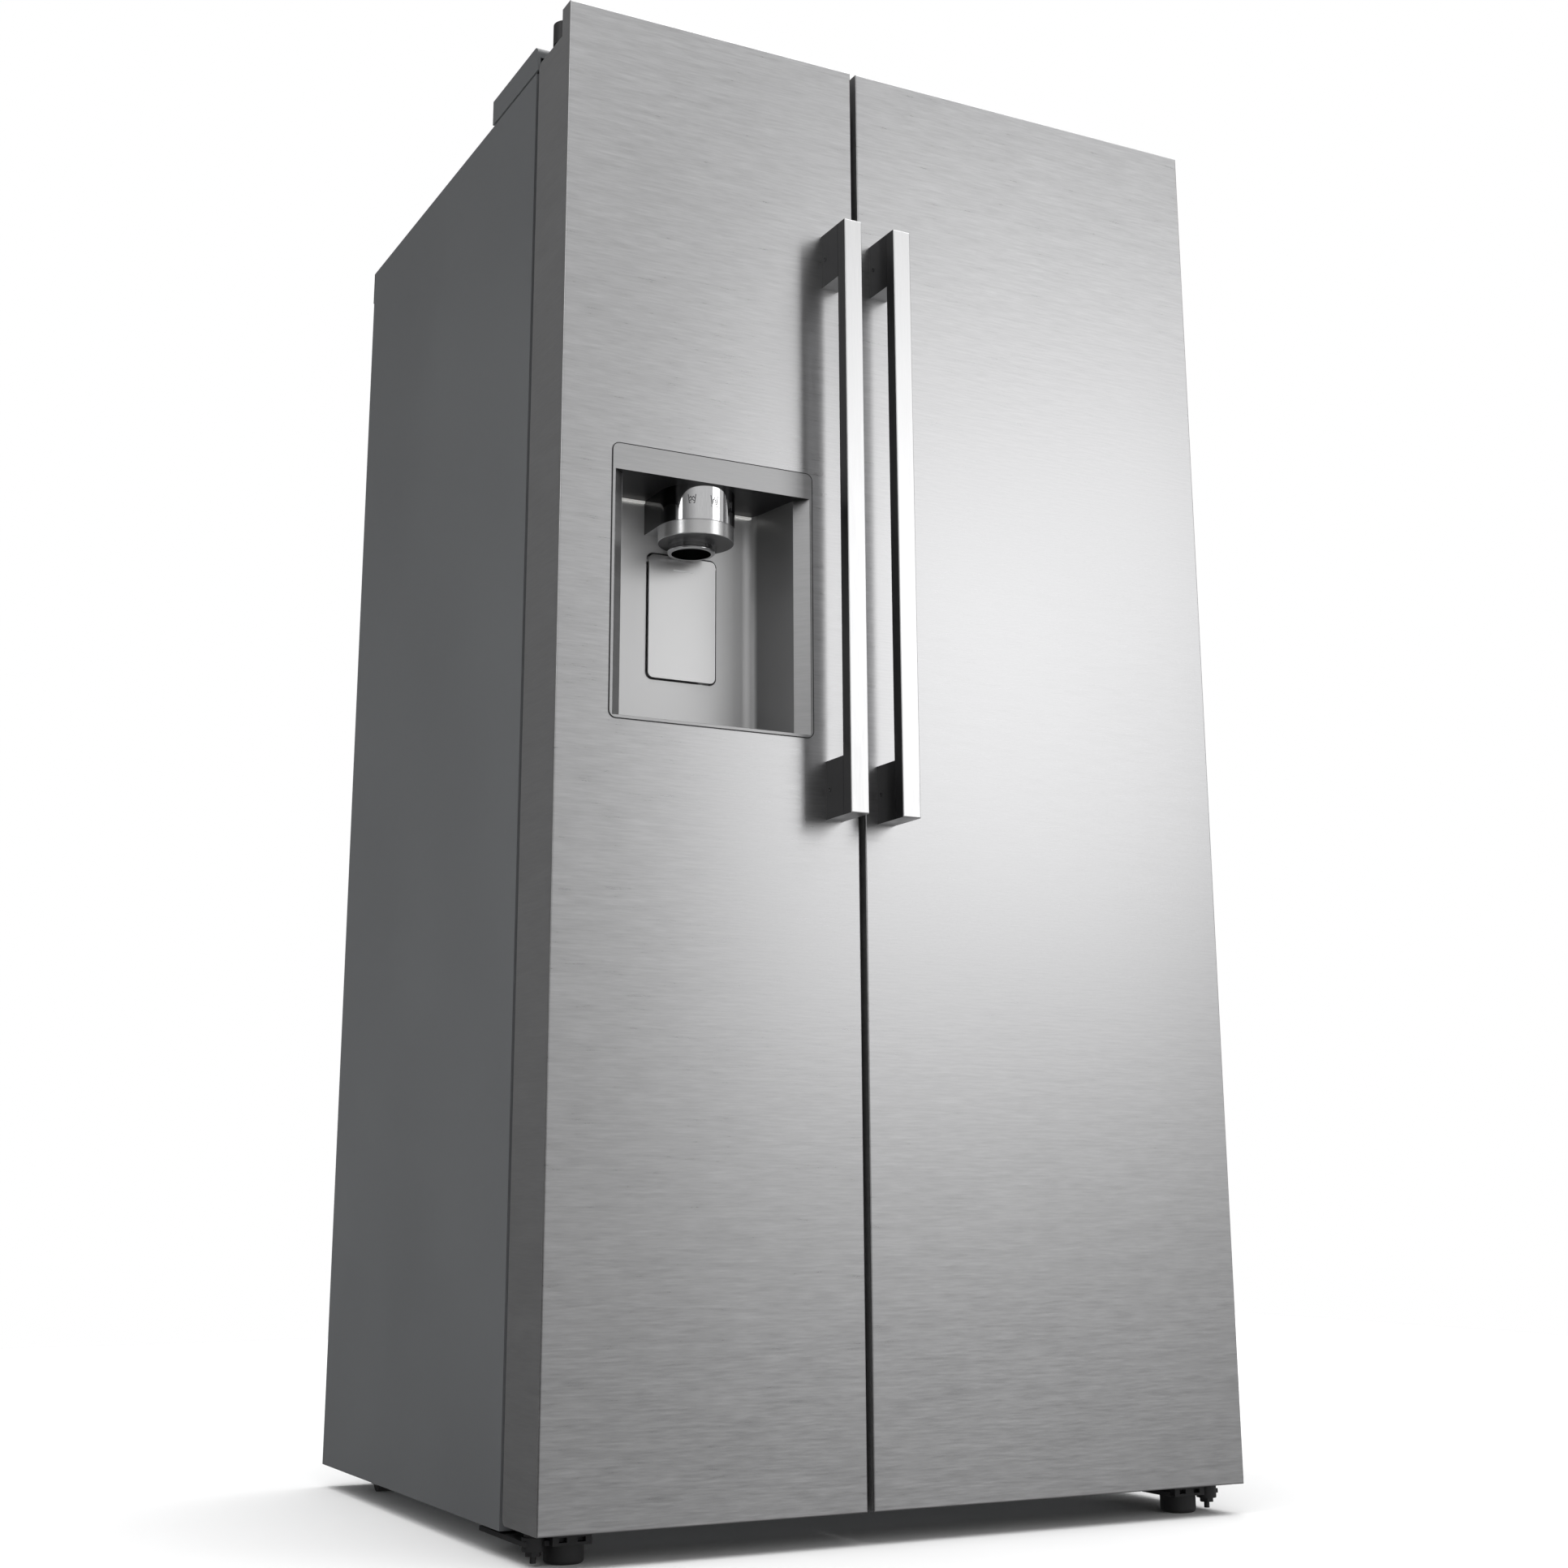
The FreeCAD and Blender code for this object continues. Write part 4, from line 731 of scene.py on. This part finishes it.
def cover_screws():
    """Screws on top of the hinge covers."""
    for node in ("hinge_cover_left", "hinge_cover_right"):
        low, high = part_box(node)
        bm = bmesh.new()
        for share in LID_SCREW_SHARES:
            place = ((low.x + high.x) / 2, low.y + share * (high.y - low.y), high.z)
            add_screw(bm, place, 2, 1, LID_SCREW)
        keep(node + "_screws", bm, "black_metal", "cabinet")


def back_details():
    """Pressed ribs of the back panel, and the screws of the panel and the rear cover."""
    low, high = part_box("back_panel")
    bm = bmesh.new()
    half_width = RIB_HALF_WIDTH * MM
    for share in RIB_SHARES:
        x = low.x + share * (high.x - low.x)
        add_block(bm, (x - half_width, high.y - DIP * MM, low.z + RIB_END * MM),
                  (x + half_width, high.y + RIB_PROUD * MM, high.z - RIB_END * MM))
    keep("back_ribs", bm, "galvanised", "cabinet", RIB_EDGE)
    bm = bmesh.new()
    for share in PANEL_SCREW_SHARES:
        z = low.z + share * (high.z - low.z)
        for x in (low.x + PANEL_SCREW_SIDE * MM, high.x - PANEL_SCREW_SIDE * MM):
            add_screw(bm, (x, high.y, z), 1, 1, SHEET_SCREW)
    cover_low, cover_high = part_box("machine_cover")
    for x in (cover_low.x + COVER_SCREW_SIDE * MM, 0.0, cover_high.x - COVER_SCREW_SIDE * MM):
        for z in (cover_low.z + COVER_SCREW_ENDS[0] * MM, cover_high.z - COVER_SCREW_ENDS[1] * MM):
            add_screw(bm, (x, cover_high.y, z), 1, 1, SHEET_SCREW)
    keep("back_screws", bm, "black_metal", "cabinet")


def ice_maker_front():
    """Bucket seam and grip on the ice maker."""
    low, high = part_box("ice_maker")
    bm = bmesh.new()
    back = high.y - DIP * MM
    seam = low.z + BUCKET_SEAM_SHARE * (high.z - low.z)
    side = BUCKET_SEAM_SIDE * MM
    add_block(bm, (low.x + side, back, seam),
              (high.x - side, high.y + BUCKET_SEAM_PROUD * MM, seam + BUCKET_SEAM_HEIGHT * MM))
    keep("ice_maker_seam", bm, "grey_plastic", "freezer_door", smooth=False)
    bm = bmesh.new()
    middle = (low.x + high.x) / 2
    half_width = GRIP_HALF_WIDTH * MM
    add_block(bm, (middle - half_width, back, seam - GRIP_DROPS[0] * MM),
              (middle + half_width, high.y + GRIP_PROUD * MM, seam - GRIP_DROPS[1] * MM))
    keep("ice_maker_grip", bm, "grey_plastic", "freezer_door", GRIP_EDGE)


for build in (light_strip, frame_outline, touch_icons, paddle_mark, drip_grille, handle_screws,
              post_seams, shelf_trims, drawer_trims, bin_trims, cover_screws, back_details,
              ice_maker_front):
    build()


# ---------------------------------------------------------------- environment

ROOM_TOWARDS = (0.6, -0.8)    # the bright side of the room
ROOM_SIDES = (0.16, 0.55)     # strength of its dim and its bright side
ROOM_TURN = (-0.2, 0.6)       # where it goes from one to the other
ROOM_LOW = 0.36               # share of it that is left under the horizon
HORIZON = (-0.12, 0.1)
ROOM_TOP = 3.2
OVERHEAD = (0.7, 0.92)
FLOOR_SIZE = 3.4
CAMERA_PLACE = (-1.31571, -2.55398, 0.37309)
CAMERA_YAW = -27.2521
CAMERA_PITCH = 13.8133
CAMERA_ROLL = -0.1305
LENS = 49.298
SENSOR = 36.0
SHIFT_X = 0.01051
SHIFT_Y = -0.07356
SOFTBOXES = (("key", (2.85, -4.5, 2.15), (0.1, -0.3, 0.95), 2.0, 2.4, 23.0),
             ("left", (-4.2, -1.2, 2.9), (-0.4, 0.0, 1.4), 1.6, 2.6, 30.0))


def make_camera():
    """The camera that sees the refrigerator from low down at its left."""
    data = bpy.data.cameras.new("camera")
    data.lens = LENS
    data.sensor_width = SENSOR
    data.shift_x = SHIFT_X
    data.shift_y = SHIFT_Y
    data.dof.use_dof = False
    camera = bpy.data.objects.new("camera", data)
    bpy.context.scene.collection.objects.link(camera)
    turn = (Matrix.Rotation(math.radians(CAMERA_YAW), 4, "Z")
            @ Matrix.Rotation(math.radians(90 + CAMERA_PITCH), 4, "X")
            @ Matrix.Rotation(math.radians(CAMERA_ROLL), 4, "Z"))
    camera.matrix_world = Matrix.Translation(CAMERA_PLACE) @ turn
    bpy.context.scene.camera = camera


def soft_light(name, place, target, width, height, power):
    """A rectangular softbox at place, facing target, with a power in watts."""
    data = bpy.data.lights.new(name, "AREA")
    data.shape = "RECTANGLE"
    data.size = width
    data.size_y = height
    data.energy = power
    light = bpy.data.objects.new(name, data)
    bpy.context.scene.collection.objects.link(light)
    light.location = place
    light.rotation_mode = "QUATERNION"
    light.rotation_quaternion = (Vector(target) - Vector(place)).to_track_quat("-Z", "Y")


def make_world():
    """White behind the object, and a room for light: bright overhead and at the front right."""
    world = bpy.data.worlds.new("studio")
    bpy.context.scene.world = world
    world.use_nodes = True
    tree = world.node_tree
    tree.nodes.clear()

    def math_node(operation, *inputs):
        node = tree.nodes.new("ShaderNodeMath")
        node.operation = operation
        for socket, value in zip(node.inputs, inputs):
            if isinstance(value, float):
                socket.default_value = value
            else:
                tree.links.new(value, socket)
        return node.outputs[0]

    def ramp(source, ends, values):
        node = tree.nodes.new("ShaderNodeMapRange")
        node.interpolation_type = "SMOOTHSTEP"
        for socket, value in zip(node.inputs[1:5], (*ends, *values)):
            socket.default_value = value
        tree.links.new(source, node.inputs[0])
        return node.outputs[0]

    place = tree.nodes.new("ShaderNodeTexCoord")
    parts = tree.nodes.new("ShaderNodeSeparateXYZ")
    tree.links.new(place.outputs["Generated"], parts.inputs[0])
    front = math_node("MULTIPLY_ADD", parts.outputs["X"], ROOM_TOWARDS[0],
                      math_node("MULTIPLY", parts.outputs["Y"], ROOM_TOWARDS[1]))
    room = ramp(front, ROOM_TURN, ROOM_SIDES)
    room = math_node("MULTIPLY", room, ramp(parts.outputs["Z"], HORIZON, (ROOM_LOW, 1.0)))
    total = math_node("ADD", room, ramp(parts.outputs["Z"], OVERHEAD, (0.0, ROOM_TOP)))
    out = tree.nodes.new("ShaderNodeOutputWorld")
    light = tree.nodes.new("ShaderNodeBackground")
    tree.links.new(total, light.inputs["Strength"])
    backdrop = tree.nodes.new("ShaderNodeBackground")
    for shader in (light, backdrop):
        shader.inputs["Color"].default_value = (1.0, 1.0, 1.0, 1.0)
    path = tree.nodes.new("ShaderNodeLightPath")
    pick = tree.nodes.new("ShaderNodeMixShader")
    tree.links.new(path.outputs["Is Camera Ray"], pick.inputs["Fac"])
    tree.links.new(light.outputs["Background"], pick.inputs[1])
    tree.links.new(backdrop.outputs["Background"], pick.inputs[2])
    tree.links.new(pick.outputs["Shader"], out.inputs["Surface"])


def make_floor():
    """A plain pale floor."""
    bm = bmesh.new()
    bmesh.ops.create_grid(bm, x_segments=8, y_segments=8, size=FLOOR_SIZE)
    mesh = bpy.data.meshes.new("floor")
    bm.to_mesh(mesh)
    bm.free()
    floor = bpy.data.objects.new("floor", mesh)
    bpy.context.scene.collection.objects.link(floor)
    s = Shader("floor")
    cloud = s.noise((2.0, 2.0, 2.0), detail=2.0)
    s.colour(s.blend(s.span(cloud, 0.0, 1.0), (0.9, 0.9, 0.9), (0.92, 0.92, 0.92)))
    s.set(Roughness=0.8)
    mesh.materials.append(s.material)
    floor.visible_glossy = False


make_camera()
make_world()
make_floor()
for softbox in SOFTBOXES:
    soft_light(*softbox)
bpy.context.scene.view_settings.view_transform = "Standard"
